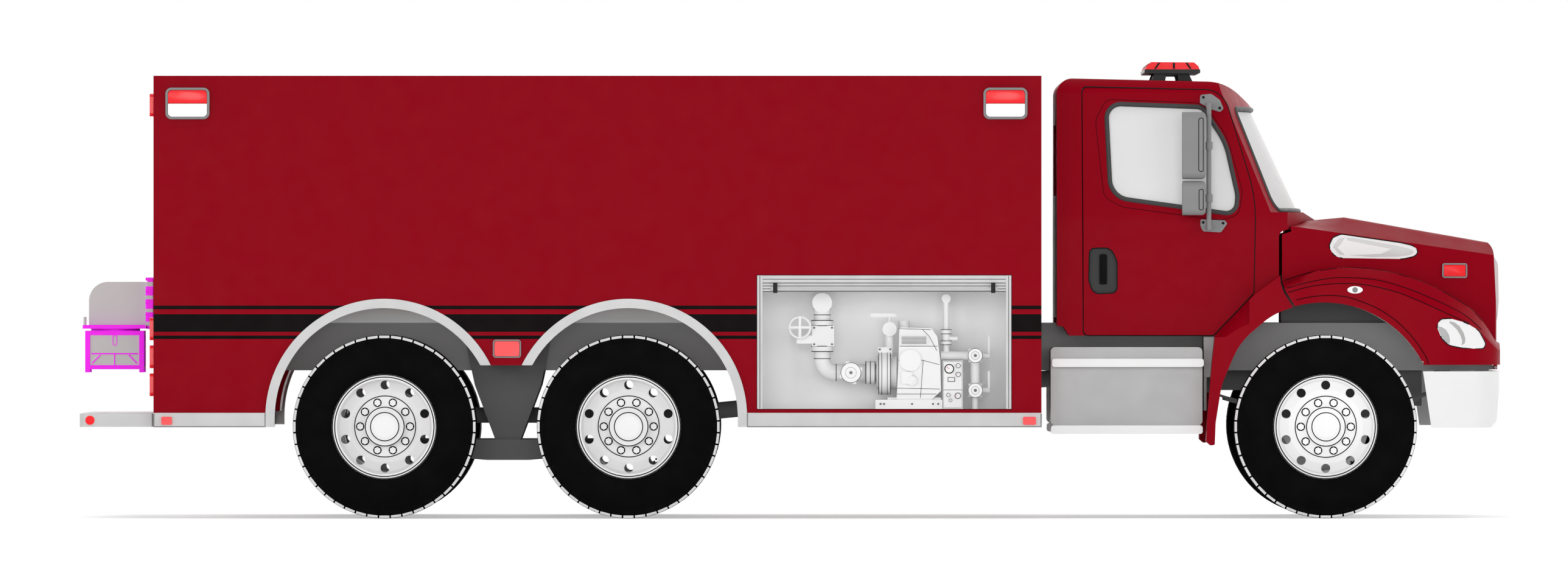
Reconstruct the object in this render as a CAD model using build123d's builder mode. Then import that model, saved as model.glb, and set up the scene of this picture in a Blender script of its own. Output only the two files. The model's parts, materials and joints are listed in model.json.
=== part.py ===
"""A three-axle water tanker fire engine: chassis, hollow cab, tilting hood, tank body and open pump bay.

Millimetres, +X forward, +Y to the vehicle's left, +Z up. The origin is on the ground, midway along the length.
The right side, towards -Y, carries the open pump compartment.
"""

import os
from math import cos, hypot, radians, sin

from build123d import *

SIDES = (("right", -1), ("left", 1))
GAP = 0.3  # between pieces that seat on each other
SEAM = 6.0  # round a door and along the hood's edge

# Ground line, wheels and axles
TYRE_R = 525.0
FRONT_AXLE_X = 3066.0
TANDEM_X = (-923.0, -2319.0)
FRONT_TYRE_Y = 1028.0
RIM_BEAD_R = 287.0
DISC_FACE = 160.0  # from a tyre's middle to its wheel disc's outer face
DUAL_MID_Y = 921.0
BOLT_CIRCLE_R = 142.9
BOLT_COUNT = 10
NUT_R = 19.0
HAND_HOLE_CIRCLE_R = 238.0
HAND_HOLE_R = 26.0
HUB_R = 112.0
HUB_CAP_R = 83.0
DRUM_R = 205.0
DRUM_BORE_R = 150.0
FRONT_SPINDLE_R = 38.0
REAR_SPINDLE_R = 60.0
SPINDLE_CLEARANCE = 0.1

# Front axle and knuckles
KINGPIN_Y = 900.0
KINGPIN_R = 18.0
EYE_R = 42.0
EYE_LOW_Z, EYE_HIGH_Z = 470.0, 580.0
KNUCKLE_EAR = 50.0
EAR_CLEARANCE = 1.0
AXLE_BEAM_W, AXLE_BEAM_H = 90.0, 100.0

# Chassis frame
RAIL_LOW_Z, RAIL_TOP_Z = 845.0, 1118.0
RAIL_OUT_Y = 432.0
RAIL_FLANGE = 90.0
RAIL_WALL = 10.0
RAIL_REAR_X, RAIL_FRONT_X = -3600.0, 4022.0
CROSSMEMBER_X = (-3540.0, -2760.0, -1990.0, -1250.0, -480.0, 300.0, 1080.0, 1860.0)
CROSSMEMBER_W, CROSSMEMBER_H = 80.0, 190.0
FRONT_CROSSMEMBER_X = 3960.0

# Tank body
BODY_REAR_X, BODY_FRONT_X = -3638.0, 1439.0
BODY_HALF_W = 1245.0
BODY_LOW_Z, BODY_TOP_Z = 605.0, 2532.0
BULKHEAD = 30.0
TANK_HALF_W = 590.0
TANK_LOW_Z, TANK_TOP_Z = 1150.0, 2340.0
TRAY_WALL = 60.0
ARCH_Z = 578.0
ARCH_R = 640.0
TRIM_IN_R, TRIM_OUT_R = 626.0, 679.0
TRIM_PROUD = 15.0
TRIM_LIP = 50.0
ARCH_STEP_Z = 877.0  # underside of the panel between the two arches
RUB_RAIL_LOW_Z = 524.0
RUB_RAIL_PROUD = 12.0
RUB_RAIL_DEPTH = 60.0

# Pump compartment in the right side
BAY_X = (-188.0, 1268.0)
BAY_Z = (626.0, 1392.0)
BAY_BACK_Y = 640.0
TRACK_W = 32.0
HEADER_LOW_Z = 1298.0

# Cab
CAB_REAR_X = 1531.0
CAB_SILL_Z = 1046.0
CAB_WALL = 45.0
CAB_HALF_SILL, CAB_HALF_BELT, CAB_HALF_ROOF = 1005.0, 1015.0, 880.0
BELT_Z = 1700.0
ROOF_REAR_Z, ROOF_FRONT_Z = 2523.0, 2508.0
FLOOR_Z = 1180.0
TUNNEL_HALF_W, TUNNEL_Z = 500.0, 1150.0
SCREEN_FOOT = (2947.0, 1752.0)
SCREEN_HEAD = (2660.0, 2364.0)
SCREEN_BOW_R = 2743.0
COWL_REACH = 90.0
DOOR_DEPTH = 45.0
GLASS = 6.0
GLASS_INSET = 14.0

# Hood and fenders
HOOD_REAR_X, HOOD_FRONT_X = 2815.0, 4072.0
HOOD_LOW_Z = 879.0
HOOD_WALL = 22.0
FRONT_ARCH_X, FRONT_ARCH_Z, FRONT_ARCH_R = 3054.0, 599.0, 637.0
FENDER_HALF_W = 1190.0
HOOD_PIVOT_X, HOOD_PIVOT_Z = 4060.0, 862.0
PIVOT_PIN_R = 8.0
HEADLAMP_DEPTH = 60.0
GRILLE_HALF_W = 470.0

# Rear dump chute
DUMP = 254.0  # outside width of the square pipe
DUMP_AXIS_X = -3893.0
DUMP_X = (-4042.0, -3788.0)
DUMP_LOW_Z = 1104.0
DUMP_WALL = 8.0
CHUTE_TOP_Z, CHUTE_LOW_Z = 1072.0, 832.0
CHUTE_HALF_W = 164.0
SPIGOT_R = 118.0


def on_plane(plane, rows):
    """A closed outline on a plane, from rows of two coordinates and a corner radius."""
    with BuildSketch(plane) as sketch:
        with BuildLine():
            FilletPolyline(*[row[:2] for row in rows], radius=[row[2] for row in rows], close=True)
        make_face()
    return sketch.sketch


def along_y(rows, y_from, y_to, mode=Mode.ADD):
    """Extrudes an outline of X and Z rows between two Y values."""
    extrude(on_plane(Plane.XZ.offset(-y_from), rows), amount=y_from - y_to, mode=mode)


def along_x(rows, x_from, x_to, mode=Mode.ADD):
    """Extrudes an outline of Y and Z rows between two X values."""
    extrude(on_plane(Plane.YZ.offset(x_from), rows), amount=x_to - x_from, mode=mode)


def along_z(rows, z_from, z_to, mode=Mode.ADD):
    """Extrudes an outline of X and Y rows between two Z values."""
    extrude(on_plane(Plane.XY.offset(z_from), rows), amount=z_to - z_from, mode=mode)


def block(x, y, z, mode=Mode.ADD):
    """A box from its ranges along X, Y and Z."""
    with Locations(((x[0] + x[1]) / 2, (y[0] + y[1]) / 2, (z[0] + z[1]) / 2)):
        Box(abs(x[1] - x[0]), abs(y[1] - y[0]), abs(z[1] - z[0]), mode=mode)


def rod_y(x, z, radius, y_from, y_to, mode=Mode.ADD):
    """A cylinder along Y."""
    with Locations(Location((x, (y_from + y_to) / 2, z), (90, 0, 0))):
        Cylinder(radius, abs(y_to - y_from), mode=mode)


def rod_x(y, z, radius, x_from, x_to, mode=Mode.ADD):
    """A cylinder along X."""
    with Locations(Location(((x_from + x_to) / 2, y, z), (0, 90, 0))):
        Cylinder(radius, abs(x_to - x_from), mode=mode)


def rod_z(x, y, radius, z_from, z_to, mode=Mode.ADD):
    """A cylinder along Z."""
    with Locations((x, y, (z_from + z_to) / 2)):
        Cylinder(radius, abs(z_to - z_from), mode=mode)


def rectangle_rows(x, z, radius=0.0):
    """Outline rows of a rectangle with rounded corners."""
    return [(x[0], z[0], radius), (x[1], z[0], radius), (x[1], z[1], radius), (x[0], z[1], radius)]


def wheel_plane(x, y, side):
    """A wheel's section plane: local x runs outboard along the axle, local y is the radius."""
    return Plane(origin=(x, side * y, TYRE_R), x_dir=(0, side, 0), z_dir=(side, 0, 0))


def turned(x, y, side, rows, mode=Mode.ADD):
    """A wheel piece turned about its axle from rows of axial place, radius and corner radius."""
    revolve(on_plane(wheel_plane(x, y, side), rows), axis=Axis((x, 0, TYRE_R), (0, 1, 0)), mode=mode)


def keep(piece, label):
    """Labels a finished piece and writes its file."""
    piece.label = label
    export_step(piece, f"parts/{label}.step")


os.makedirs("parts", exist_ok=True)

# Chassis frame: two channel rails with crossmembers, and lugs for the hood's pivot
with BuildPart() as chassis_frame:
    for _, side in SIDES:
        mid_y = side * (RAIL_OUT_Y - RAIL_FLANGE / 2)
        with BuildSketch(Plane.YZ.offset(RAIL_REAR_X)):
            with Locations((mid_y, (RAIL_LOW_Z + RAIL_TOP_Z) / 2)):
                Rectangle(RAIL_FLANGE, RAIL_TOP_Z - RAIL_LOW_Z)
            with Locations((mid_y - side * RAIL_WALL, (RAIL_LOW_Z + RAIL_TOP_Z) / 2)):
                Rectangle(RAIL_FLANGE, RAIL_TOP_Z - RAIL_LOW_Z - 2 * RAIL_WALL, mode=Mode.SUBTRACT)
        extrude(amount=RAIL_FRONT_X - RAIL_REAR_X)
        lug_rows = [
            (RAIL_FRONT_X - 60, RAIL_LOW_Z, 0),
            (HOOD_PIVOT_X, HOOD_PIVOT_Z - 11, 5),
            (HOOD_PIVOT_X + 8, HOOD_PIVOT_Z + 4, 3),
            (RAIL_FRONT_X - 60, RAIL_LOW_Z + 60, 0),
        ]
        along_y(lug_rows, side * RAIL_OUT_Y, side * (RAIL_OUT_Y - 12))
        rod_y(HOOD_PIVOT_X, HOOD_PIVOT_Z, PIVOT_PIN_R, side * RAIL_OUT_Y, side * (RAIL_OUT_Y + 40))
        for pad_x in (1620, 2440):
            pad_y = sorted((side * (RAIL_OUT_Y - 80), side * (RAIL_OUT_Y - 10)))
            block((pad_x, pad_x + 120), pad_y, (RAIL_TOP_Z, TUNNEL_Z - GAP))
with BuildPart() as crossmembers:
    web_y = RAIL_OUT_Y - RAIL_WALL
    beam_z = (RAIL_LOW_Z + RAIL_TOP_Z) / 2
    half_h = CROSSMEMBER_H / 2
    for beam_x in (*CROSSMEMBER_X, FRONT_CROSSMEMBER_X):
        half_w = CROSSMEMBER_W / 2
        block((beam_x - half_w, beam_x - half_w + 12), (-web_y, web_y), (beam_z - half_h, beam_z + half_h))
        for flange_z in (beam_z - half_h, beam_z + half_h - 12):
            block((beam_x - half_w, beam_x + half_w), (-web_y, web_y), (flange_z, flange_z + 12))
keep(Compound([*chassis_frame.part.solids(), *crossmembers.part.solids()]), "chassis_frame")

# Front axle: dropped beam with an eye at each kingpin
with BuildPart() as front_axle:
    beam_x = (FRONT_AXLE_X - AXLE_BEAM_W / 2, FRONT_AXLE_X + AXLE_BEAM_W / 2)
    beam_rows = [
        (-KINGPIN_Y, EYE_LOW_Z, 0),
        (-KINGPIN_Y, EYE_HIGH_Z, 0),
        (-640, EYE_HIGH_Z - 10, 60),
        (-520, 520, 60),
        (520, 520, 60),
        (640, EYE_HIGH_Z - 10, 60),
        (KINGPIN_Y, EYE_HIGH_Z, 0),
        (KINGPIN_Y, EYE_LOW_Z, 0),
        (640, EYE_LOW_Z - 5, 60),
        (500, 520 - AXLE_BEAM_H, 60),
        (-500, 520 - AXLE_BEAM_H, 60),
        (-640, EYE_LOW_Z - 5, 60),
    ]
    along_x(beam_rows, *beam_x)
    for face_x, web_x in ((beam_x[0], beam_x[0] + 33), (beam_x[1], beam_x[1] - 33)):
        web = (min(face_x, web_x), max(face_x, web_x))
        block(web, (-470, 470), (438, 502), Mode.SUBTRACT)
    for _, side in SIDES:
        outer = side * KINGPIN_Y
        block((beam_x[0] - 5, beam_x[1] + 5), (outer, outer + side * 60), (400, 620), Mode.SUBTRACT)
        rod_z(FRONT_AXLE_X, outer, EYE_R, EYE_LOW_Z, EYE_HIGH_Z)
        rod_z(FRONT_AXLE_X, outer, KINGPIN_R + SPINDLE_CLEARANCE, 400, 620, Mode.SUBTRACT)
        pad_y = side * (RAIL_OUT_Y - RAIL_FLANGE / 2)
        block((FRONT_AXLE_X - 90, FRONT_AXLE_X + 90), (pad_y - 45, pad_y + 45), (515, 560))
keep(front_axle.part, "front_axle")

# Front leaf springs with their hangers, and the rear walking beams with their saddles
with BuildPart() as suspension:
    for _, side in SIDES:
        spring_y = side * (RAIL_OUT_Y - RAIL_FLANGE / 2)
        for leaf, half_len in enumerate((700, 560, 420, 290)):
            low = 560 + GAP + 14 * (3 - leaf)
            rise = 130 * (half_len / 700) ** 2
            with BuildSketch(Plane.XZ.offset(-(spring_y - 35))):
                with BuildLine():
                    ends = (FRONT_AXLE_X - half_len, FRONT_AXLE_X + half_len)
                    ThreePointArc((ends[0], low + rise), (FRONT_AXLE_X, low), (ends[1], low + rise))
                    Line((ends[1], low + rise), (ends[1], low + rise + 14))
                    top = (FRONT_AXLE_X, low + 14)
                    ThreePointArc((ends[1], low + rise + 14), top, (ends[0], low + rise + 14))
                    Line((ends[0], low + rise + 14), (ends[0], low + rise))
                make_face()
            extrude(amount=-70)
        for end in (-700, 700):
            hanger_x = FRONT_AXLE_X + end
            rod_y(hanger_x, 742, 26, spring_y - 44, spring_y + 44)
            block((hanger_x - 34, hanger_x + 34), (spring_y - 44, spring_y - 36), (720, RAIL_LOW_Z - GAP))
            block((hanger_x - 34, hanger_x + 34), (spring_y + 36, spring_y + 44), (720, RAIL_LOW_Z - GAP))
            block((hanger_x - 34, hanger_x + 34), (spring_y - 44, spring_y + 44), (825, RAIL_LOW_Z - GAP))
    tandem_mid = sum(TANDEM_X) / 2
    beam_rows = [
        (TANDEM_X[1] - 95, 386, 0),
        (tandem_mid - 120, 330, 0),
        (tandem_mid + 120, 330, 0),
        (TANDEM_X[0] + 95, 386, 0),
        (TANDEM_X[0] + 95, 448, 12),
        (TANDEM_X[1] - 95, 448, 12),
    ]
    for _, side in SIDES:
        near, far = side * 455, side * 535
        along_y(beam_rows, near, far)
        for axle_x in TANDEM_X:
            seat_z = TYRE_R - REAR_SPINDLE_R - 12 - GAP
            block((axle_x - 60, axle_x + 60), (near, far), (430, seat_z))
        saddle_rows = [
            (tandem_mid - 70, 440, 0),
            (tandem_mid + 70, 440, 0),
            (tandem_mid + 190, 760, 0),
            (tandem_mid + 260, RAIL_TOP_Z - 40, 0),
            (tandem_mid - 260, RAIL_TOP_Z - 40, 0),
            (tandem_mid - 190, 760, 0),
        ]
        along_y(saddle_rows, side * (RAIL_OUT_Y + GAP), side * 500)
keep(suspension.part, "suspension")

# Steering knuckles: two ears round the axle's eye, a plate and the spindle
with BuildPart() as knuckle_right:
    low = (EYE_LOW_Z - EAR_CLEARANCE - KNUCKLE_EAR, EYE_LOW_Z - EAR_CLEARANCE)
    high = (EYE_HIGH_Z + EAR_CLEARANCE, EYE_HIGH_Z + EAR_CLEARANCE + KNUCKLE_EAR)
    for ear in (low, high):
        rod_z(FRONT_AXLE_X, -KINGPIN_Y, EYE_R, *ear)
        block((FRONT_AXLE_X - 40, FRONT_AXLE_X + 40), (-KINGPIN_Y - 65, -KINGPIN_Y), ear)
    block((FRONT_AXLE_X - 58, FRONT_AXLE_X + 58), (-990, -KINGPIN_Y - 60), (low[0], high[1]))
    rod_z(FRONT_AXLE_X, -KINGPIN_Y, KINGPIN_R, low[0], high[1])
    rod_y(FRONT_AXLE_X, TYRE_R, FRONT_SPINDLE_R, -1118, -980)
keep(knuckle_right.part, "knuckle_right")
keep(mirror(knuckle_right.part, about=Plane.XZ), "knuckle_left")

# Rear axles with their differential housings, and the drive shafts between them
with BuildPart() as rear_axles:
    for axle_x in TANDEM_X:
        rod_y(axle_x, TYRE_R, REAR_SPINDLE_R + 12, -655, 655)
        rod_y(axle_x, TYRE_R, REAR_SPINDLE_R, -900, 900)
        rod_y(axle_x, TYRE_R, 190, -95, 95)
        rod_y(axle_x, TYRE_R, 120, -190, 190)
        rod_x(0, TYRE_R + 60, 95, axle_x, axle_x + 250)
        rod_x(0, TYRE_R + 60, 62, axle_x - 230, axle_x)
    rod_x(0, TYRE_R + 60, 45, TANDEM_X[1] + 240, TANDEM_X[0] - 220)
    shaft_run = (1950.0 - TANDEM_X[0] - 240, 0, 255.0)
    shaft_at = Plane(origin=(TANDEM_X[0] + 240, 0, TYRE_R + 60), z_dir=shaft_run)
    with BuildSketch(shaft_at):
        Circle(48)
    extrude(amount=hypot(*shaft_run) - 2)
keep(rear_axles.part, "rear_axles")

# Engine and gearbox as plain blocks, and the radiator with its shroud
with BuildPart() as powertrain:
    block((2830, 3640), (-300, 300), (640, 1400))
    block((1960, 2830), (-200, 200), (730, 1120))
    block((3790, 3880), (-RAIL_OUT_Y + 12, RAIL_OUT_Y - 12), (RAIL_TOP_Z + GAP, 1480))
    rod_x(0, 1290, 150, 3740, 3795)
    for bar in range(9):
        fin_z = 1160 + bar * 36
        block((3872, 3890), (-380, 380), (fin_z, fin_z + 12), Mode.SUBTRACT)
keep(powertrain.part, "powertrain")

# Wheels: tyres, and rims with their discs, nuts, hub and brake drum
TYRE_ROWS = [
    (-104, RIM_BEAD_R, 0),
    (-142, 384, 75),
    (-128, TYRE_R - 22, 0),
    (-106, TYRE_R, 0),
    (106, TYRE_R, 0),
    (128, TYRE_R - 22, 0),
    (142, 384, 75),
    (104, RIM_BEAD_R, 0),
]
BARREL_ROWS = [
    (-119, 300, 0),
    (-110, 300, 0),
    (-105, RIM_BEAD_R - GAP, 0),
    (105, RIM_BEAD_R - GAP, 0),
    (110, 300, 0),
    (119, 300, 0),
    (115, 272, 0),
    (-115, 272, 0),
]


def disc_rows(turn):
    """Section of a wheel disc, turned to face outboard (1) or inboard (-1)."""
    rows = [
        (84, 276, 0),
        (104, 276, 0),
        (122, 262, 10),
        (150, 212, 20),
        (DISC_FACE, 176, 0),
        (DISC_FACE, HUB_R - 10, 0),
        (DISC_FACE - 12, HUB_R - 10, 0),
        (DISC_FACE - 12, 180, 0),
        (138, 208, 20),
        (108, 258, 10),
    ]
    return [(turn * a, r, corner) for a, r, corner in rows]


def hand_holes_and_nuts(x, y, side, face_a, nut_out):
    """Cuts the hand holes through a disc and seats the ring of nuts on its face."""
    for step in range(BOLT_COUNT):
        hole = radians(step * 36 + 18)
        nut = radians(step * 36)
        hole_at = (x + HAND_HOLE_CIRCLE_R * cos(hole), TYRE_R + HAND_HOLE_CIRCLE_R * sin(hole))
        low, high = sorted((side * (y + face_a - 75), side * (y + face_a + 75)))
        rod_y(*hole_at, HAND_HOLE_R, low, high, Mode.SUBTRACT)
        nut_at = Plane(
            origin=(
                x + BOLT_CIRCLE_R * cos(nut),
                side * (y + face_a - 2),
                TYRE_R + BOLT_CIRCLE_R * sin(nut),
            ),
            z_dir=(0, side, 0),
        )
        with BuildSketch(nut_at) as hexagon:
            RegularPolygon(NUT_R, 6)
        extrude(hexagon.sketch, amount=nut_out + 2)


def front_wheel(side):
    """The single front wheel on one side, as its tyre and its rim."""
    with BuildPart() as tyre:
        turned(FRONT_AXLE_X, FRONT_TYRE_Y, side, TYRE_ROWS)
    bore = FRONT_SPINDLE_R + SPINDLE_CLEARANCE
    hub_rows = [
        (-98, DRUM_R, 0),
        (-5, DRUM_R, 0),
        (-5, HUB_R, 0),
        (184, HUB_R, 0),
        (190, HUB_CAP_R, 0),
        (206, HUB_CAP_R, 0),
        (212, 60, 0),
        (212, 0, 0),
        (95, 0, 0),
        (95, bore, 0),
        (-30, bore, 0),
        (-30, DRUM_BORE_R, 0),
        (-98, DRUM_BORE_R, 0),
    ]
    with BuildPart() as rim:
        turned(FRONT_AXLE_X, FRONT_TYRE_Y, side, BARREL_ROWS)
        turned(FRONT_AXLE_X, FRONT_TYRE_Y, side, disc_rows(1))
        turned(FRONT_AXLE_X, FRONT_TYRE_Y, side, hub_rows)
        hand_holes_and_nuts(FRONT_AXLE_X, FRONT_TYRE_Y, side, DISC_FACE, 20)
    return tyre.part, rim.part


def rear_wheel(side, axle_x):
    """A pair of rear wheels on one hub, as the two tyres and the joined rims."""
    outer_y, inner_y = DUAL_MID_Y + DISC_FACE, DUAL_MID_Y - DISC_FACE
    with BuildPart() as tyres:
        for tyre_y in (outer_y, inner_y):
            turned(axle_x, tyre_y, side, TYRE_ROWS)
    bore = REAR_SPINDLE_R + SPINDLE_CLEARANCE
    hub_rows = [
        (-230, DRUM_R, 0),
        (-60, DRUM_R, 0),
        (-50, HUB_R + 40, 0),
        (-10, HUB_R, 0),
        (140, HUB_R, 0),
        (150, HUB_CAP_R, 0),
        (170, HUB_CAP_R, 0),
        (176, 60, 0),
        (176, 0, 0),
        (-16, 0, 0),
        (-16, bore, 0),
        (-90, bore, 0),
        (-90, DRUM_BORE_R, 0),
        (-230, DRUM_BORE_R, 0),
    ]
    with BuildPart() as rims:
        for tyre_y, turn in ((outer_y, -1), (inner_y, 1)):
            turned(axle_x, tyre_y, side, BARREL_ROWS)
            turned(axle_x, tyre_y, side, disc_rows(turn))
        turned(axle_x, DUAL_MID_Y, side, hub_rows)
        hand_holes_and_nuts(axle_x, DUAL_MID_Y, side, 12, 22)
    return tyres.part, rims.part


wheels = {"front": front_wheel(-1), "middle": rear_wheel(-1, TANDEM_X[0])}
wheels["rear"] = [Pos(TANDEM_X[1] - TANDEM_X[0], 0, 0) * piece for piece in wheels["middle"]]
for place, pair in wheels.items():
    for kind, piece in zip(("tyre", "rim"), pair):
        keep(piece, f"{kind}_{place}_right")
        keep(mirror(piece, about=Plane.XZ), f"{kind}_{place}_left")

# Water tank on its two sills between the side bodies
with BuildPart() as tank:
    tank_x = (BODY_REAR_X + BULKHEAD + GAP, BODY_FRONT_X - BULKHEAD - GAP)
    side_y = TANK_HALF_W - GAP
    block(tank_x, (-side_y, side_y), (TANK_LOW_Z, TANK_TOP_Z))
    for _, side in SIDES:
        sill_y = side * (RAIL_OUT_Y - RAIL_FLANGE / 2)
        block(tank_x, (sill_y - 40, sill_y + 40), (RAIL_TOP_Z + GAP, TANK_LOW_Z))
    # The fill tower stands at the front of the tray, with its lid hinged at the rear
    block((960, 1340), (-240, 240), (TANK_TOP_Z, 2490))
    block((980, 1320), (-220, 220), (TANK_TOP_Z - 120, 2490), Mode.SUBTRACT)
keep(tank.part, "tank")

with BuildPart() as fill_lid:
    along_z(rectangle_rows((950, 1350), (-250, 250), 20), 2490 + GAP, 2498)
    along_z(rectangle_rows((990, 1310), (-210, 210), 10), 2498, 2504)
    rod_y(952, 2500, 8, -180, -80)
    rod_y(952, 2500, 8, 80, 180)
    block((1290, 1300), (-60, -50), (2500, 2524))
    block((1290, 1300), (50, 60), (2500, 2524))
    block((1290, 1300), (-60, 60), (2516, 2526))
keep(fill_lid.part, "fill_lid")


def side_body(compartment):
    """One side of the body, drawn on the right: the deep lower part with its arches, the upper part and the tray wall."""
    body_x = (BODY_REAR_X + BULKHEAD, BODY_FRONT_X - BULKHEAD)
    with BuildPart() as lower:
        block(body_x, (-BODY_HALF_W, -TANK_HALF_W), (BODY_LOW_Z, BAY_Z[1]))
        for axle_x in TANDEM_X:
            rod_y(axle_x, ARCH_Z, ARCH_R, -BODY_HALF_W - 5, -TANK_HALF_W + 5, Mode.SUBTRACT)
        between = (TANDEM_X[1], TANDEM_X[0])
        y_all = (-BODY_HALF_W - 5, -TANK_HALF_W + 5)
        block(between, y_all, (BODY_LOW_Z - 5, ARCH_STEP_Z), Mode.SUBTRACT)
        back_y = -BAY_BACK_Y if compartment else -BODY_HALF_W + 60
        block(BAY_X, (-BODY_HALF_W - 5, back_y), (BAY_Z[0], BAY_Z[1] + 5), Mode.SUBTRACT)
    with BuildPart() as upper:
        block(body_x, (-BODY_HALF_W, -TANK_HALF_W), (BAY_Z[1], TANK_TOP_Z))
    with BuildPart() as wall:
        block(body_x, (-BODY_HALF_W, -BODY_HALF_W + TRAY_WALL), (TANK_TOP_Z, BODY_TOP_Z))
    return [lower.part.solid(), upper.part.solid(), wall.part.solid()]


right_body = side_body(True)
left_body = [mirror(panel, about=Plane.XZ).solid() for panel in side_body(False)]
keep(Compound(right_body + left_body), "side_bodies")

# Front and rear bulkheads across the whole width
with BuildPart() as bulkheads:
    for x_from, x_to in ((BODY_REAR_X, BODY_REAR_X + BULKHEAD), (BODY_FRONT_X - BULKHEAD, BODY_FRONT_X)):
        face = [
            (-BODY_HALF_W, BODY_LOW_Z, 0),
            (-480, BODY_LOW_Z, 0),
            (-480, RAIL_TOP_Z + GAP, 0),
            (480, RAIL_TOP_Z + GAP, 0),
            (480, BODY_LOW_Z, 0),
            (BODY_HALF_W, BODY_LOW_Z, 0),
            (BODY_HALF_W, BODY_TOP_Z, 0),
            (-BODY_HALF_W, BODY_TOP_Z, 0),
        ]
        along_x(face, x_from, x_to)
keep(bulkheads.part, "bulkheads")

# Rub rails along the lower edges
with BuildPart() as rub_rails:
    arch_reach = TRIM_OUT_R + 2
    for x_from, x_to in ((BODY_REAR_X, TANDEM_X[1] - arch_reach), (TANDEM_X[0] + arch_reach, BODY_FRONT_X)):
        for _, side in SIDES:
            outer = side * (BODY_HALF_W + RUB_RAIL_PROUD)
            inner = side * (BODY_HALF_W + RUB_RAIL_PROUD - RUB_RAIL_DEPTH)
            rail_y = (min(outer, inner), max(outer, inner))
            block((x_from, x_to), rail_y, (RUB_RAIL_LOW_Z, BODY_LOW_Z - GAP))
            lip = (side * (BODY_HALF_W - RUB_RAIL_DEPTH), side * (BODY_HALF_W - 4))
            hollow = (RUB_RAIL_LOW_Z + 8, BODY_LOW_Z - 8)
            block((x_from + 8, x_to - 8), (min(lip), max(lip)), hollow, Mode.SUBTRACT)
keep(rub_rails.part, "rub_rails")

# Bright trims round the rear arches: a face ring and a lip under the panel's edge
with BuildPart() as trim_right:
    for outer_r, inner_r, y_from, y_to in (
        (TRIM_OUT_R, TRIM_IN_R, BODY_HALF_W + GAP, BODY_HALF_W + TRIM_PROUD),
        (ARCH_R - GAP, TRIM_IN_R, BODY_HALF_W - TRIM_LIP, BODY_HALF_W + GAP),
    ):
        with BuildSketch(Plane.XZ.offset(y_from)):
            for axle_x in TANDEM_X:
                with Locations((axle_x, ARCH_Z)):
                    Circle(outer_r)
                with Locations((axle_x, (RUB_RAIL_LOW_Z + ARCH_Z) / 2)):
                    Rectangle(2 * outer_r, ARCH_Z - RUB_RAIL_LOW_Z)
            for axle_x in TANDEM_X:
                with Locations((axle_x, ARCH_Z)):
                    Circle(inner_r, mode=Mode.SUBTRACT)
                with Locations((axle_x, (RUB_RAIL_LOW_Z + ARCH_Z) / 2)):
                    Rectangle(2 * inner_r, ARCH_Z - RUB_RAIL_LOW_Z, mode=Mode.SUBTRACT)
            with Locations((sum(TANDEM_X) / 2, ARCH_STEP_Z - 400)):
                Rectangle(TANDEM_X[0] - TANDEM_X[1], 800, mode=Mode.SUBTRACT)
            for axle_x in TANDEM_X:
                with Locations((axle_x, RUB_RAIL_LOW_Z - 400)):
                    Rectangle(2 * outer_r + 10, 800, mode=Mode.SUBTRACT)
        extrude(amount=y_to - y_from)
with BuildPart() as arch_trims:
    add(trim_right.part)
    mirror(about=Plane.XZ)
keep(arch_trims.part, "arch_trims")

# Warning lamps at the body's upper corners
with BuildPart() as corner_lamps:
    for lamp_x in (-3443.0, 1233.0):
        for _, side in SIDES:
            lamp = rectangle_rows((lamp_x - 126, lamp_x + 126), (2283, 2464), 34)
            along_y(lamp, side * (BODY_HALF_W + GAP), side * (BODY_HALF_W + 28))
keep(corner_lamps.part, "corner_lamps")

# Red marker lamps: middle of the body, rub rails, and the rear face
with BuildPart() as marker_lamps:
    side_lamps = (
        # X from, X to, Z from, Z to, Y of the seat, corner radius
        (-1688, -1546, 929, 1014, BODY_HALF_W, 12),
        (-3592, -3532, 537, 583, BODY_HALF_W + RUB_RAIL_PROUD, 8),
        (1333, 1407, 537, 583, BODY_HALF_W + RUB_RAIL_PROUD, 8),
    )
    for x_from, x_to, z_from, z_to, seat_y, corner in side_lamps:
        for _, side in SIDES:
            lamp = rectangle_rows((x_from, x_to), (z_from, z_to), corner)
            along_y(lamp, side * (seat_y + GAP), side * (seat_y + 18))
    for _, side in SIDES:
        for z_from in (700, 860, 1020, 2300):
            face = rectangle_rows((side * 1000, side * 1170), (z_from, z_from + 130), 20)
            along_x(face, BODY_REAR_X - GAP, BODY_REAR_X - 24)
keep(marker_lamps.part, "marker_lamps")

# Tailboard with its brackets to the frame
with BuildPart() as tailboard:
    board_x = (-4063.0, BODY_REAR_X - 12)
    board = [(board_x[0], -1150, 30), (board_x[1], -1150, 0), (board_x[1], 1150, 0), (board_x[0], 1150, 30)]
    along_z(board, 524, 600)
    hollow = rectangle_rows((board_x[0] + 8, board_x[1] - 8), (-1142, 1142), 20)
    along_z(hollow, 520, 590, Mode.SUBTRACT)
    for _, side in SIDES:
        arm_y = sorted((side * 345, side * 425))
        block((board_x[1] - 20, -3530), arm_y, (532, 590))
        block((-3590, -3530), arm_y, (532, RAIL_LOW_Z - GAP))
        rod_y(-4004, 562, 26, side * 1140, side * 1158)
keep(tailboard.part, "tailboard")

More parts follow.
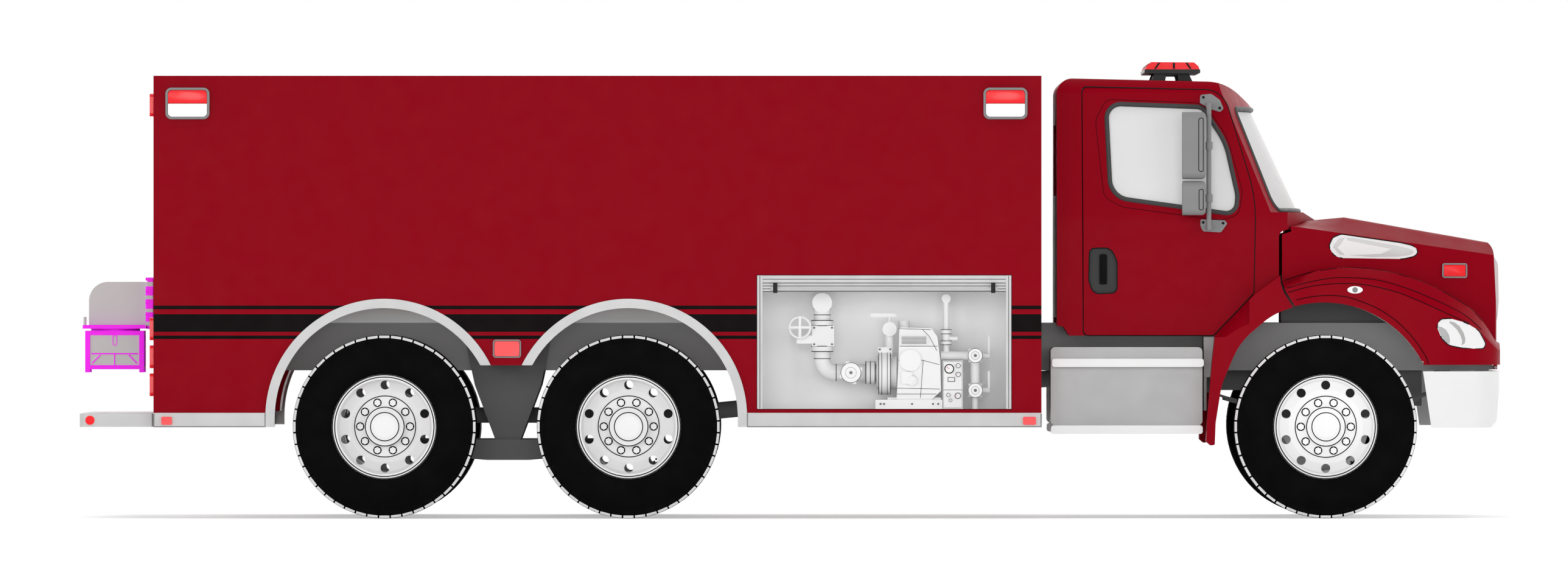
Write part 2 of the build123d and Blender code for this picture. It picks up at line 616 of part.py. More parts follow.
# Dump valve: square pipe and elbow out of the rear bulkhead, with two bolted flanges
with BuildPart() as dump_elbow:
    half = DUMP / 2
    pipe_top = DUMP_LOW_Z + DUMP - 4
    outer_rows = [
        (BODY_REAR_X - GAP, DUMP_LOW_Z, 0),
        (BODY_REAR_X - GAP, pipe_top, 0),
        (DUMP_X[0], pipe_top, 110),
        (DUMP_X[0], DUMP_LOW_Z, 0),
    ]
    along_y(outer_rows, -half, half)
    inner_rows = [
        (BODY_REAR_X + 5, DUMP_LOW_Z + DUMP_WALL, 0),
        (BODY_REAR_X + 5, pipe_top - DUMP_WALL, 0),
        (DUMP_X[0] + DUMP_WALL, pipe_top - DUMP_WALL, 102),
        (DUMP_X[0] + DUMP_WALL, DUMP_LOW_Z - 10, 0),
        (DUMP_X[1] - DUMP_WALL, DUMP_LOW_Z - 10, 0),
        (DUMP_X[1] - DUMP_WALL, DUMP_LOW_Z + DUMP_WALL, 10),
    ]
    valve_x = BODY_REAR_X - 51
    block((valve_x - 16, valve_x + 16), (-half - 26, half + 26), (CHUTE_TOP_Z + 10, pipe_top + 22))
    block((DUMP_AXIS_X - 184, DUMP_AXIS_X + 181), (-180, 180), (CHUTE_TOP_Z + 12, DUMP_LOW_Z + 1))
    rod_z(DUMP_AXIS_X, 0, SPIGOT_R, CHUTE_TOP_Z - 6, DUMP_LOW_Z)
    along_y(inner_rows, -half + DUMP_WALL, half - DUMP_WALL, Mode.SUBTRACT)
    rod_z(DUMP_AXIS_X, 0, SPIGOT_R - 6, CHUTE_TOP_Z - 20, DUMP_LOW_Z - 10, Mode.SUBTRACT)
    for bolt in range(5):
        bolt_z = DUMP_LOW_Z - 2 + bolt * 67
        for _, side in SIDES:
            rod_x(side * (half + 13), bolt_z, 9, valve_x - 26, valve_x + 26)
    rod_z(DUMP_AXIS_X - 172, -160, 9, CHUTE_TOP_Z + 14, DUMP_LOW_Z + 48)
keep(dump_elbow.part, "dump_elbow")

# Swivelling discharge chute that hangs under the elbow's flange
with BuildPart() as dump_chute:
    w = CHUTE_HALF_W
    around = (DUMP_AXIS_X - w, DUMP_AXIS_X + w)
    inside = (around[0] + 10, around[1] - 10)
    block(around, (-w, w), (CHUTE_LOW_Z + 18, CHUTE_TOP_Z))
    rod_z(DUMP_AXIS_X, 0, 142, CHUTE_TOP_Z, CHUTE_TOP_Z + 12 - SPINDLE_CLEARANCE)
    rim = (DUMP_AXIS_X - w - 6, DUMP_AXIS_X + w + 6)
    for z_from, z_to in ((CHUTE_TOP_Z - 24, CHUTE_TOP_Z), (CHUTE_LOW_Z + 18, CHUTE_LOW_Z + 40)):
        block(rim, (-w - 6, w + 6), (z_from, z_to))
    for corner_x in (around[0] + 8, around[1] - 8):
        for _, side in SIDES:
            x_pair = (corner_x - 14, corner_x + 14)
            block(x_pair, sorted((side * (w + 6), side * (w - 20))), (CHUTE_LOW_Z, CHUTE_TOP_Z))
    block(inside, (-w + 10, w - 10), (CHUTE_LOW_Z - 5, CHUTE_TOP_Z - 10), Mode.SUBTRACT)
    rod_z(DUMP_AXIS_X, 0, SPIGOT_R + SPINDLE_CLEARANCE, CHUTE_TOP_Z - 20, CHUTE_TOP_Z + 20, Mode.SUBTRACT)
keep(dump_chute.part, "dump_chute")

# Shutters: the right one rolled up, with its tracks, header, last slats and lift bar
with BuildPart() as shutters:
    face_y = -BODY_HALF_W
    for track_x in ((BAY_X[0] + GAP, BAY_X[0] + TRACK_W), (BAY_X[1] - TRACK_W, BAY_X[1] - GAP)):
        block(track_x, (face_y, face_y + 34), (BAY_Z[0] + GAP, BAY_Z[1] - GAP))
    inner_x = (BAY_X[0] + TRACK_W - 1, BAY_X[1] - TRACK_W + 1)
    block(inner_x, (face_y + 4, face_y + 110), (HEADER_LOW_Z + 48, BAY_Z[1] - GAP))
    rod_x(face_y + 60, HEADER_LOW_Z + 44, 42, *inner_x)
    for slat in range(3):
        slat_z = HEADER_LOW_Z + 16 * slat
        block(inner_x, (face_y + 8, face_y + 20), (slat_z, slat_z + 14))
        block(inner_x, (face_y + 11, face_y + 17), (slat_z + 13, slat_z + 17))
    rod_x(face_y - 14, HEADER_LOW_Z + 14, 7, BAY_X[0] + 80, BAY_X[1] - 80)
    for clamp_x in (-83.0, 1163.0):
        block((clamp_x - 12, clamp_x + 12), (face_y - 24, face_y + 10), (HEADER_LOW_Z - 8, HEADER_LOW_Z + 52))
    # The left one is closed over its recess
    face_y = BODY_HALF_W
    for track_x in ((BAY_X[0] + GAP, BAY_X[0] + TRACK_W), (BAY_X[1] - TRACK_W, BAY_X[1] - GAP)):
        block(track_x, (face_y - 34, face_y), (BAY_Z[0] + GAP, BAY_Z[1] - GAP))
    block(inner_x, (face_y - 34, face_y - 2), (HEADER_LOW_Z + 48, BAY_Z[1] - GAP))
    slat_pitch = (HEADER_LOW_Z + 48 - BAY_Z[0] - GAP) / 20
    block(inner_x, (face_y - 18, face_y - 12), (BAY_Z[0] + GAP, HEADER_LOW_Z + 50))
    for slat in range(20):
        slat_z = BAY_Z[0] + GAP + slat * slat_pitch
        block(inner_x, (face_y - 20, face_y - 7), (slat_z, slat_z + slat_pitch - 4))
    rod_x(face_y + 12, BAY_Z[0] + 60, 7, BAY_X[0] + 80, BAY_X[1] - 80)
    for clamp_x in (-83.0, 1163.0):
        block((clamp_x - 12, clamp_x + 12), (face_y - 14, face_y + 22), (BAY_Z[0] + 40, BAY_Z[0] + 84))
keep(shutters.part, "shutters")

# Pump set in the compartment: skid and engine
PUMP_Y = -900.0
PUMP_FRONT_Y = -1080.0
PIPE_Z = 834.0
RISER_X = 186.0
MANIFOLD_Z = 932.0
with BuildPart() as pump_engine:
    block((490, 873), (PUMP_Y - 170, PUMP_Y + 170), (BAY_Z[0] + GAP, 679))
    block((502, 861), (PUMP_Y - 150, PUMP_Y + 150), (640, 692), Mode.SUBTRACT)
    body_rows = [
        (612, 679, 10),
        (812, 679, 10),
        (866, 730, 12),
        (862, 900, 30),
        (845, 1040, 20),
        (810, 1088, 6),
        (628, 1093, 10),
        (622, 900, 20),
    ]
    block((560, 866), (PUMP_Y - 130, PUMP_Y + 130), (676, 692))
    along_y(body_rows, PUMP_Y - 146, PUMP_Y + 146)
    block((632, 790), (PUMP_Y - 170, PUMP_Y + 60), (990, 1042))
    rod_y(690, 905, 62, PUMP_Y - 178, PUMP_Y)
    block((640, 700), (PUMP_Y - 176, PUMP_Y - 140), (770, 838))
    rod_z(655, PUMP_Y + 60, 32, 1080, 1130)
keep(pump_engine.part, "pump_engine")

# Pump casing: volute with its flange, suction tee and bend, valve and riser
with BuildPart() as pump_casing:
    rod_x(PUMP_Y, PIPE_Z + 2, 127, 512, 574)
    rod_x(PUMP_Y, PIPE_Z + 2, 96, 498, 612)
    block((506, 586), (PUMP_Y - 60, PUMP_Y + 60), (920, 979))
    rod_z(572, PUMP_Y, 26, 960, 1060)
    rod_y(572, 1083, 41, PUMP_Y - 60, PUMP_Y + 60)
    rod_z(572, PUMP_Y - 20, 9, 1083, 1160)
    along_y(rectangle_rows((462, 611), (1152, 1173), 9), PUMP_Y - 32, PUMP_Y - 8)
keep(pump_casing.part, "pump_casing")

with BuildPart() as suction_piping:
    rod_x(PUMP_Y, PIPE_Z, 48, RISER_X + 78, 498 - GAP)
    rod_x(PUMP_Y, PIPE_Z, 64, 438, 487)
    with BuildSketch(Plane(origin=(RISER_X + 78, PUMP_Y, PIPE_Z), z_dir=(-1, 0, 0))):
        Circle(48)
    revolve(axis=Axis((RISER_X + 78, PUMP_Y, PIPE_Z + 78), (0, 1, 0)), revolution_arc=90)
    rod_z(RISER_X, PUMP_Y, 48, PIPE_Z + 78, 1234)
    rod_z(RISER_X, PUMP_Y, 62, 956, 985)
    rod_z(RISER_X, PUMP_Y, 62, 1102, 1131)
    block((128, 254), (PUMP_Y - 56, PUMP_Y + 56), (984, 1103))
    rod_y(RISER_X, 1234, 57, PUMP_Y - 56, -BAY_BACK_Y - GAP)
    rod_y(350, PIPE_Z, 46, PUMP_FRONT_Y, PUMP_Y)
    rod_y(350, PIPE_Z, 57, PUMP_FRONT_Y - 24, PUMP_FRONT_Y + 20)
    for lug in range(4):
        angle = radians(20 + lug * 90)
        lug_at = (350 + 58 * cos(angle), PIPE_Z + 58 * sin(angle))
        rod_y(*lug_at, 11, PUMP_FRONT_Y - 22, PUMP_FRONT_Y + 4)
    block((40, 130), (PUMP_Y - 60, PUMP_Y - 20), (1000, 1046))
    rod_y(58, 1093, 10, PUMP_Y - 96, PUMP_Y - 40)
    block((48, 68), (PUMP_Y - 60, PUMP_Y - 40), (1040, 1100))
    with Locations(Location((58, PUMP_Y - 92, 1093), (90, 0, 0))):
        Torus(60, 7)
    block((-6, 122), (PUMP_Y - 97, PUMP_Y - 87), (1086, 1100))
    block((51, 65), (PUMP_Y - 97, PUMP_Y - 87), (1029, 1157))
keep(suction_piping.part, "suction_piping")

with BuildPart() as discharge_piping:
    rod_x(PUMP_Y - 60, MANIFOLD_Z, 26, 866 + GAP, 1062)
    rod_z(1061, PUMP_Y - 60, 27, 733, MANIFOLD_Z)
    for outlet_z in (MANIFOLD_Z, 733.0):
        rod_y(1062, outlet_z, 34, PUMP_FRONT_Y, PUMP_Y - 60)
        rod_y(1062, outlet_z, 41, PUMP_FRONT_Y - 24, PUMP_FRONT_Y + 16)
        block((1024, 1100), (PUMP_Y - 98, PUMP_Y - 22), (outlet_z - 38, outlet_z + 38))
        rod_x(PUMP_Y - 60, outlet_z, 15, 1062, 1146)
        block((1135, 1147), (PUMP_Y - 66, PUMP_Y - 54), (outlet_z - 10, outlet_z + 110))
    rod_z(896, PUMP_Y - 60, 17, MANIFOLD_Z, 1258)
    rod_z(896, PUMP_Y - 60, 30, 996, 1014)
    rod_z(896, PUMP_Y - 60, 30, 1058, 1078)
    rod_z(896, PUMP_Y - 60, 24, 1000, 1070)
    rod_x(PUMP_Y - 60, 1030, 14, 896, 962)
    rod_y(896, 1258, 26, PUMP_Y - 86, -BAY_BACK_Y - GAP)
    rod_z(1061, PUMP_Y - 60, 18, BAY_Z[0] + GAP, 733)
keep(discharge_piping.part, "discharge_piping")

with BuildPart() as control_panel:
    block((876, 991), (PUMP_FRONT_Y + 10, PUMP_Y - 92), (BAY_Z[0] + GAP, 903))
    for gauge_x, gauge_z, gauge_r in (
        (913, 856, 28),
        (964, 874, 14),
        (964, 824, 15),
        (962, 702, 18),
        (908, 706, 12),
        (920, 676, 10),
    ):
        rod_y(gauge_x, gauge_z, gauge_r, PUMP_FRONT_Y - 2, PUMP_FRONT_Y + 12)
    block((902, 948), (PUMP_FRONT_Y + 4, PUMP_FRONT_Y + 12), (780, 810))
keep(control_panel.part, "control_panel")

# Fuel tanks hung on the rails under the cab, and their step treads
with BuildPart() as fuel_tanks:
    for _, side in SIDES:
        near, far = side * (RAIL_OUT_Y + GAP), side * 1050
        along_y(rectangle_rows((1494, 2363), (533, 980), 26), near, far)
keep(fuel_tanks.part, "fuel_tanks")

with BuildPart() as cab_steps:
    for _, side in SIDES:
        seat = side * (1050 + GAP)
        along_y(rectangle_rows((1501, 2369), (867, 914), 14), seat, side * 1130)
        along_y(rectangle_rows((1496, 2363), (484, 533 - GAP), 14), side * 900, side * 1130)
keep(cab_steps.part, "cab_steps")

# Grey splash panels behind the front wheels, on the rails
with BuildPart() as splash_panels:
    panel = [
        (2372, 617, 0),
        (2388, 617, 0),
        (2388, 808, 0),
        (2490, 808, 0),
        (2490, 1040, 0),
        (2372, 1040, 0),
    ]
    for _, side in SIDES:
        along_y(panel, side * (RAIL_OUT_Y + GAP), side * 960)
keep(splash_panels.part, "splash_panels")


# Cab forms: the outside, drawn in by any inset, gives the shell, the doors and the panes
SCREEN_SLOPE = (SCREEN_HEAD[0] - SCREEN_FOOT[0], SCREEN_HEAD[1] - SCREEN_FOOT[1])


def screen_limit(inset):
    """What lies behind the bowed windscreen and, below it, behind the cowl."""
    level = inset * hypot(*SCREEN_SLOPE) / SCREEN_SLOPE[1]
    centre_x = SCREEN_FOOT[0] - SCREEN_BOW_R
    with BuildPart() as limit:
        with BuildSketch(Plane.XY.offset(SCREEN_FOOT[1])) as bow:
            with Locations((centre_x, 0)):
                Circle(SCREEN_BOW_R - level)
            with Locations((SCREEN_FOOT[0] - 1200, 0)):
                Rectangle(2600, 2200, mode=Mode.INTERSECT)
        extrude(bow.sketch, amount=1100, dir=(SCREEN_SLOPE[0], 0, SCREEN_SLOPE[1]))
        with BuildSketch(Plane.XY.offset(SCREEN_FOOT[1] + 1)) as cowl:
            with Locations((centre_x, 0)):
                Circle(SCREEN_BOW_R + COWL_REACH - inset)
            with Locations((SCREEN_FOOT[0] - 1200, 0)):
                Rectangle(2800, 2200, mode=Mode.INTERSECT)
        extrude(cowl.sketch, amount=-900)
    return limit.part


CAB_ROWS = [
    # X, Z, corner radius of the side outline
    (CAB_REAR_X, 1104, 0),
    (1567, 1097, 0),
    (1601, CAB_SILL_Z, 0),
    (2444, CAB_SILL_Z, 0),
    (2690, 1305, 0),
    (2802, 1305, 0),
    (2802, 1640, 40),
    (2900, 1668, 0),
    (3036, 1704, 0),
    SCREEN_FOOT + (0,),
    SCREEN_HEAD + (130,),
    (2500, ROOF_FRONT_Z - 8, 300),
    (CAB_REAR_X, ROOF_REAR_Z, 90),
]


def cab_volume(inset):
    """The cab's outside form, with every face drawn in by an inset."""
    limit = screen_limit(inset)
    with BuildPart() as volume:
        with BuildSketch(Plane.XZ):
            with BuildLine():
                points = [row[:2] for row in CAB_ROWS]
                FilletPolyline(*points, radius=[row[2] for row in CAB_ROWS], close=True)
            make_face()
            if inset:
                offset(amount=-inset)
        extrude(amount=CAB_HALF_BELT + 60, both=True)
        across = [
            (-CAB_HALF_SILL + inset, 950, 0),
            (CAB_HALF_SILL - inset, 950, 0),
            (CAB_HALF_BELT - inset, BELT_Z, 400),
            (CAB_HALF_ROOF - inset, ROOF_REAR_Z - inset + 2, 110 - inset),
            (-CAB_HALF_ROOF + inset, ROOF_REAR_Z - inset + 2, 110 - inset),
            (-CAB_HALF_BELT + inset, BELT_Z, 400),
        ]
        along_x(across, CAB_REAR_X - 50, SCREEN_FOOT[0] + 400, Mode.INTERSECT)
        rear_x, far_x = CAB_REAR_X + inset, SCREEN_FOOT[0] + 400
        plan = [
            (rear_x, -1100, 0),
            (far_x, -1100, 0),
            (far_x, 1100, 0),
            (rear_x, 1100, 0),
        ]
        along_z(plan, 900, ROOF_REAR_Z + 100, Mode.INTERSECT)
        add(limit, mode=Mode.INTERSECT)
    return volume.part


def layer(volume_from, volume_to):
    """The skin between two inset forms."""
    with BuildPart() as skin:
        add(volume_from)
        add(volume_to, mode=Mode.SUBTRACT)
    return skin.part


DOOR_ROWS = [
    (1684, CAB_SILL_Z + 3, 30),
    (2426, CAB_SILL_Z + 3, 0),
    (2656, 1290, 30),
    (2667, 1837, 900),
    (2500, 2390, 160),
    (2430, 2452, 120),
    (1678, 2470, 30),
]
HANDLE_ROWS = [
    (1716, 1546, 30),
    (1840, 1550, 60),
    (1876, 1470, 60),
    (1876, 1290, 34),
    (1738, 1284, 50),
    (1712, 1360, 60),
]
HANDLE_FLOOR_Y = -990.0
WINDOW_ROWS = [
    (1812, 2376, 80),
    (2366, 2356, 60),
    (2500, 2150, 400),
    (2566, 1850, 150),
    (2556, 1738, 60),
    (1838, 1838, 120),
]
SCREEN_ROWS = [
    # Y and Z seen from the front
    (-790, 2345, 60),
    (790, 2345, 60),
    (925, 1762, 70),
    (-925, 1762, 70),
]
REAR_WINDOW_ROWS = [(-560, 1850, 60), (560, 1850, 60), (560, 2260, 60), (-560, 2260, 60)]


def grown(rows, by):
    """Outline rows moved out from their middle by about a given distance on each side."""
    middle_x = (min(r[0] for r in rows) + max(r[0] for r in rows)) / 2
    middle_z = (min(r[1] for r in rows) + max(r[1] for r in rows)) / 2
    half_x = max(r[0] for r in rows) - middle_x
    half_z = max(r[1] for r in rows) - middle_z
    scale_x, scale_z = 1 + by / half_x, 1 + by / half_z
    moved = []
    for x, z, corner in rows:
        moved.append((middle_x + (x - middle_x) * scale_x, middle_z + (z - middle_z) * scale_z, corner))
    return moved


cab_outer = cab_volume(0)
cab_inner = cab_volume(CAB_WALL)
cab_door_back = cab_volume(DOOR_DEPTH + 4)
SIDE_REACH = (-700, -1100)

with BuildPart() as cab_shell:
    add(cab_outer)
    with BuildPart(mode=Mode.PRIVATE) as room:
        add(cab_inner)
        block((1500, 3100), (-1100, 1100), (900, FLOOR_Z), Mode.SUBTRACT)
    add(room.part, mode=Mode.SUBTRACT)
    block((1500, 3100), (-TUNNEL_HALF_W, TUNNEL_HALF_W), (1000, TUNNEL_Z), Mode.SUBTRACT)
    with BuildPart(mode=Mode.PRIVATE) as apertures:
        for _, side in SIDES:
            along_y(grown(DOOR_ROWS, SEAM), side * 700, side * 1100)
        add(cab_door_back, mode=Mode.SUBTRACT)
    add(apertures.part, mode=Mode.SUBTRACT)
    along_x(SCREEN_ROWS, 2440, 3100, Mode.SUBTRACT)
    along_x(REAR_WINDOW_ROWS, 1500, 1640, Mode.SUBTRACT)
keep(cab_shell.part, "cab_shell")

glass_out = cab_volume(GLASS_INSET)
glass_in = cab_volume(GLASS_INSET + GLASS)
glass_layer = layer(glass_out, glass_in)
with BuildPart() as cab_glass:
    along_x(grown(SCREEN_ROWS, -GAP), 2480, 3100)
    along_x(grown(REAR_WINDOW_ROWS, -GAP), 1500, 1640)
    add(glass_layer, mode=Mode.INTERSECT)
keep(cab_glass.part, "cab_glass")

with BuildPart() as door_right:
    along_y(DOOR_ROWS, *SIDE_REACH)
    add(layer(cab_outer, cab_volume(DOOR_DEPTH)), mode=Mode.INTERSECT)
    along_y(WINDOW_ROWS, *SIDE_REACH, Mode.SUBTRACT)
    # The form's own floor stays with the shell, so that the door swings over the sill
    block((1500, 2800), (DOOR_DEPTH - CAB_HALF_SILL, -600), (1000, 1330), Mode.SUBTRACT)
    along_y(HANDLE_ROWS, -1040, HANDLE_FLOOR_Y, Mode.SUBTRACT)
    along_y(rectangle_rows((1774, 1817), (1339, 1512), 10), HANDLE_FLOOR_Y, HANDLE_FLOOR_Y - 14)
keep(door_right.part, "door_right")
keep(mirror(door_right.part, about=Plane.XZ), "door_left")

with BuildPart() as door_glass_right:
    along_y(grown(WINDOW_ROWS, -GAP), *SIDE_REACH)
    add(glass_layer, mode=Mode.INTERSECT)
keep(door_glass_right.part, "door_glass_right")
keep(mirror(door_glass_right.part, about=Plane.XZ), "door_glass_left")

# Mirrors on the doors: two heads on a tube between a top and a lower bracket
cab_clear = cab_volume(-GAP)
MIRROR_Y = -1140.0
MIRROR_TOP_PLATE = [
    (2351, 2378, 12),
    (2353, 2426, 14),
    (2417, 2432, 24),
    (2466, 2396, 20),
    (2488, 2345, 14),
    (2466, 2328, 8),
    (2425, 2340, 14),
]
MIRROR_LOW_PLATE = [
    (2352, 1712, 10),
    (2492, 1706, 8),
    (2506, 1688, 6),
    (2470, 1637, 20),
    (2366, 1643, 20),
    (2352, 1675, 10),
]
with BuildPart() as side_mirror_right:
    along_y(MIRROR_TOP_PLATE, -800, -1000)
    along_y(MIRROR_LOW_PLATE, -980, -1040)
    add(cab_volume(-14), mode=Mode.INTERSECT)
    block((2384, 2412), (MIRROR_Y, -860), (2352, 2378))
    block((2384, 2416), (MIRROR_Y, -990), (1651, 1680))
    rod_z(2398, MIRROR_Y, 14, 1651, 2378)
    for z_from, z_to in ((1735, 1930), (1942, 2325)):
        with BuildPart(mode=Mode.PRIVATE) as head:
            block((2246, 2378), (MIRROR_Y - 120, MIRROR_Y + 70), (z_from, z_to))
            fillet(head.edges().filter_by(Axis.X), 34)
            fillet(head.faces().sort_by(Axis.X)[-1].edges(), 22)
            block((2240, 2252), (MIRROR_Y - 108, MIRROR_Y + 58), (z_from + 14, z_to - 14), Mode.SUBTRACT)
        add(head.part)
        middle = (z_from + z_to) / 2
        block((2370, 2400), (MIRROR_Y - 12, MIRROR_Y + 12), (middle - 20, middle + 20))
        rod_z(2398, MIRROR_Y, 22, middle - 22, middle + 22)
    add(cab_clear, mode=Mode.SUBTRACT)
keep(side_mirror_right.part, "side_mirror_right")
keep(mirror(side_mirror_right.part, about=Plane.XZ), "side_mirror_left")

# Lightbar across the roof
with BuildPart() as lightbar:
    along_y(rectangle_rows((2037, 2357), (2551, 2576), 8), -700, 700)
    lens_rows = [
        (2041, 2574, 0),
        (2353, 2574, 0),
        (2347, 2592, 8),
        (2322, 2614, 12),
        (2076, 2616, 12),
        (2049, 2594, 8),
    ]
    along_y(lens_rows, -696, 696)
    foot_rows = [(2066, 2480, 0), (2326, 2480, 0), (2292, 2553, 0), (2096, 2553, 0)]
    window = [(2150, 2470, 0), (2246, 2470, 0), (2232, 2544, 6), (2164, 2544, 6)]
    for foot_y in (-560, 560):
        along_y(foot_rows, foot_y - 40, foot_y + 40)
        along_y(window, foot_y - 50, foot_y + 50, Mode.SUBTRACT)
    add(cab_clear, mode=Mode.SUBTRACT)
keep(lightbar.part, "lightbar")

# Seats on the cab floor
SEAT_ROWS = [
    (1750, 1300, 20),
    (2240, 1300, 30),
    (2260, 1440, 50),
    (1900, 1420, 60),
    (1790, 1990, 50),
    (1660, 1975, 40),
]
with BuildPart() as seats:
    for _, side in SIDES:
        along_y(SEAT_ROWS, side * 340, side * 820)
        rest = [(1690, 1960, 20), (1780, 1970, 20), (1765, 2150, 35), (1675, 2140, 35)]
        along_y(rest, side * 460, side * 700)
        block((1800, 2160), sorted((side * 400, side * 760)), (FLOOR_Z + GAP, 1302))
keep(seats.part, "seats")

# Dashboard with the driver's steering wheel on the left
with BuildPart() as dashboard:
    wall_x = 2802 - CAB_WALL - GAP
    dash_rows = [(2560, 1440, 40), (wall_x, 1365, 0), (wall_x, 1580, 0), (2700, 1640, 30), (2560, 1620, 50)]
    along_y(dash_rows, -900, 900)
    hub = Plane(origin=(2430, 500, 1600), z_dir=(-cos(radians(35)), 0, sin(radians(35))))
    with BuildSketch(hub):
        Circle(22)
    extrude(amount=-260)
    with Locations(hub):
        Torus(220, 14)
        Box(430, 36, 14)
        Box(36, 430, 14)
        Cylinder(52, 30)
keep(dashboard.part, "dashboard")

# Flares behind the front wheels, hollowed on top where the door swings over them
DOOR_HINGE_X, DOOR_HINGE_Y = 2672.0, 1016.0
FLARE_ROWS = [
    (2806, 1390, 0),
    (2660, 1282, 30),
    (2432, 1040, 20),
    (2416, 890, 300),
    (2387, 548, 60),
    (2382, 440, 10),
    (2407, 418, 8),
    (2431, 421, 8),
    (2436, 548, 60),
    (2470, 763, 300),
    (2572, 1006, 400),
    (2768, 1173, 400),
    (2880, 1208, 0),
    (2826, 1294, 30),
    (2808, 1345, 20),
]
with BuildPart() as flare_right:
    along_y(FLARE_ROWS, -962, -FENDER_HALF_W)
    with BuildPart(mode=Mode.PRIVATE) as door_sweep:
        swept = [
            (0, 1290 - 8),
            (12, 1290 - 8),
            (250, CAB_SILL_Z - 8),
            (1100, CAB_SILL_Z - 8),
            (1100, 2000),
            (0, 2000),
        ]
        with BuildSketch(Plane(origin=(DOOR_HINGE_X, -DOOR_HINGE_Y, 0), x_dir=(-1, 0, 0), z_dir=(0, 1, 0))):
            with BuildLine():
                Polyline(*swept, close=True)
            make_face()
        revolve(axis=Axis((DOOR_HINGE_X, -DOOR_HINGE_Y, 0), (0, 0, 1)), revolution_arc=76)
    add(door_sweep.part, mode=Mode.SUBTRACT)
    add(cab_clear, mode=Mode.SUBTRACT)
    block((2300, 2900), (-1010, -900), (1040, 1500), Mode.SUBTRACT)
with BuildPart() as cab_flares:
    add(flare_right.part)
    mirror(about=Plane.XZ)
keep(cab_flares.part, "cab_flares")

# Hood: bonnet and fenders in one skin, from a form that any inset draws in
BONNET_SECTIONS = (
    # X, half width low, half width at the crease, crease Z, crown Z
    (2800, 1012, 1008, 1684, 1702),
    (3184, 930, 922, 1630, 1739),
    (3930, 690, 670, 1525, 1610),
    (4100, 640, 618, 1500, 1580),
)
FENDER_SECTIONS = (
    # X, outer Y, the three swage heights
    (2800, 1190, 1290, 1314, 1358),
    (2985, 1190, 1325, 1352, 1405),
    (3155, 1190, 1345, 1378, 1434),
    (3467, 1190, 1297, 1345, 1402),
    (3720, 1178, 1191, 1245, 1309),
    (3889, 1125, 1115, 1150, 1208),
    (3973, 1065, 1048, 1073, 1124),
    (4030, 1000, 990, 1010, 1040),
    (4072, 900, 960, 975, 1000),
)


def hood_volume(inset):
    """The hood's outside form, with every face drawn in by an inset and the rear and underside run on."""
    low = HOOD_LOW_Z - (40 if inset else 0)
    with BuildPart() as bonnet:
        for x, half_low, half_crease, crease_z, crown_z in BONNET_SECTIONS:
            a, b = half_low - inset, half_crease - inset
            z, top = crease_z - inset * 0.7, crown_z - inset
            rows = [(-a, low, 0), (-b, z, 0), (-b * 0.72, top - 14, 120), (b * 0.72, top - 14, 120)]
            rows += [(b, z, 0), (a, low, 0)]
            with BuildSketch(Plane.YZ.offset(x - (10 if inset else 0))):
                with BuildLine():
                    FilletPolyline(*[r[:2] for r in rows], radius=[r[2] for r in rows], close=True)
                make_face()
        loft(ruled=True)
        nose = [
            (2700, low, 0),
            (HOOD_FRONT_X + 2 - inset, low, 0),
            (4042 - inset, 1570 - inset, 90),
            (3880, 1652 - inset, 0),
            (3700, 2100, 0),
            (2700, 2100, 0),
        ]
        along_y(nose, -1300, 1300, Mode.INTERSECT)
        plan = [
            (2700, -1300, 0),
            (3500, -1300, 0),
            (4060 - inset, -660, 150),
            (4074 - inset, 0, 0),
            (4060 - inset, 660, 150),
            (3500, 1300, 0),
            (2700, 1300, 0),
        ]
        along_z(plan, 800, 2100, Mode.INTERSECT)
    with BuildPart() as fender:
        for x, outer, z3, z2, z1 in FENDER_SECTIONS:
            out = outer - inset
            points = [
                (-500, low),
                (-out, low),
                (-out, z3 - inset),
                (-out + 26, z2 - inset),
                (-out + 84, z1 - inset),
                (-500, z1 + 10 - inset),
            ]
            with BuildSketch(Plane.YZ.offset(x - inset)):
                with BuildLine():
                    Polyline(*points, close=True)
                make_face()
        loft()
    with BuildPart() as volume:
        add(bonnet.part)
        add(fender.part)
        add(mirror(fender.part, about=Plane.XZ))
    return volume.part


LAMP_ROWS = [
    (3700, 1100, 35),
    (3722, 1141, 25),
    (3775, 1145, 60),
    (3870, 1120, 150),
    (3945, 1075, 60),
    (3986, 1000, 25),
    (3973, 970, 22),
    (3850, 974, 150),
    (3770, 990, 60),
    (3728, 1030, 60),
]
VENT_ROWS = [
    (3088, 1558, 35),
    (3112, 1608, 25),
    (3160, 1628, 50),
    (3499, 1580, 200),
    (3575, 1563, 60),
    (3612, 1528, 22),
    (3585, 1500, 40),
    (3520, 1485, 120),
    (3160, 1490, 50),
    (3118, 1506, 40),
]
GRILLE_ROWS = [(-430, 1135, 50), (430, 1135, 50), (GRILLE_HALF_W, 1500, 60), (-GRILLE_HALF_W, 1500, 60)]

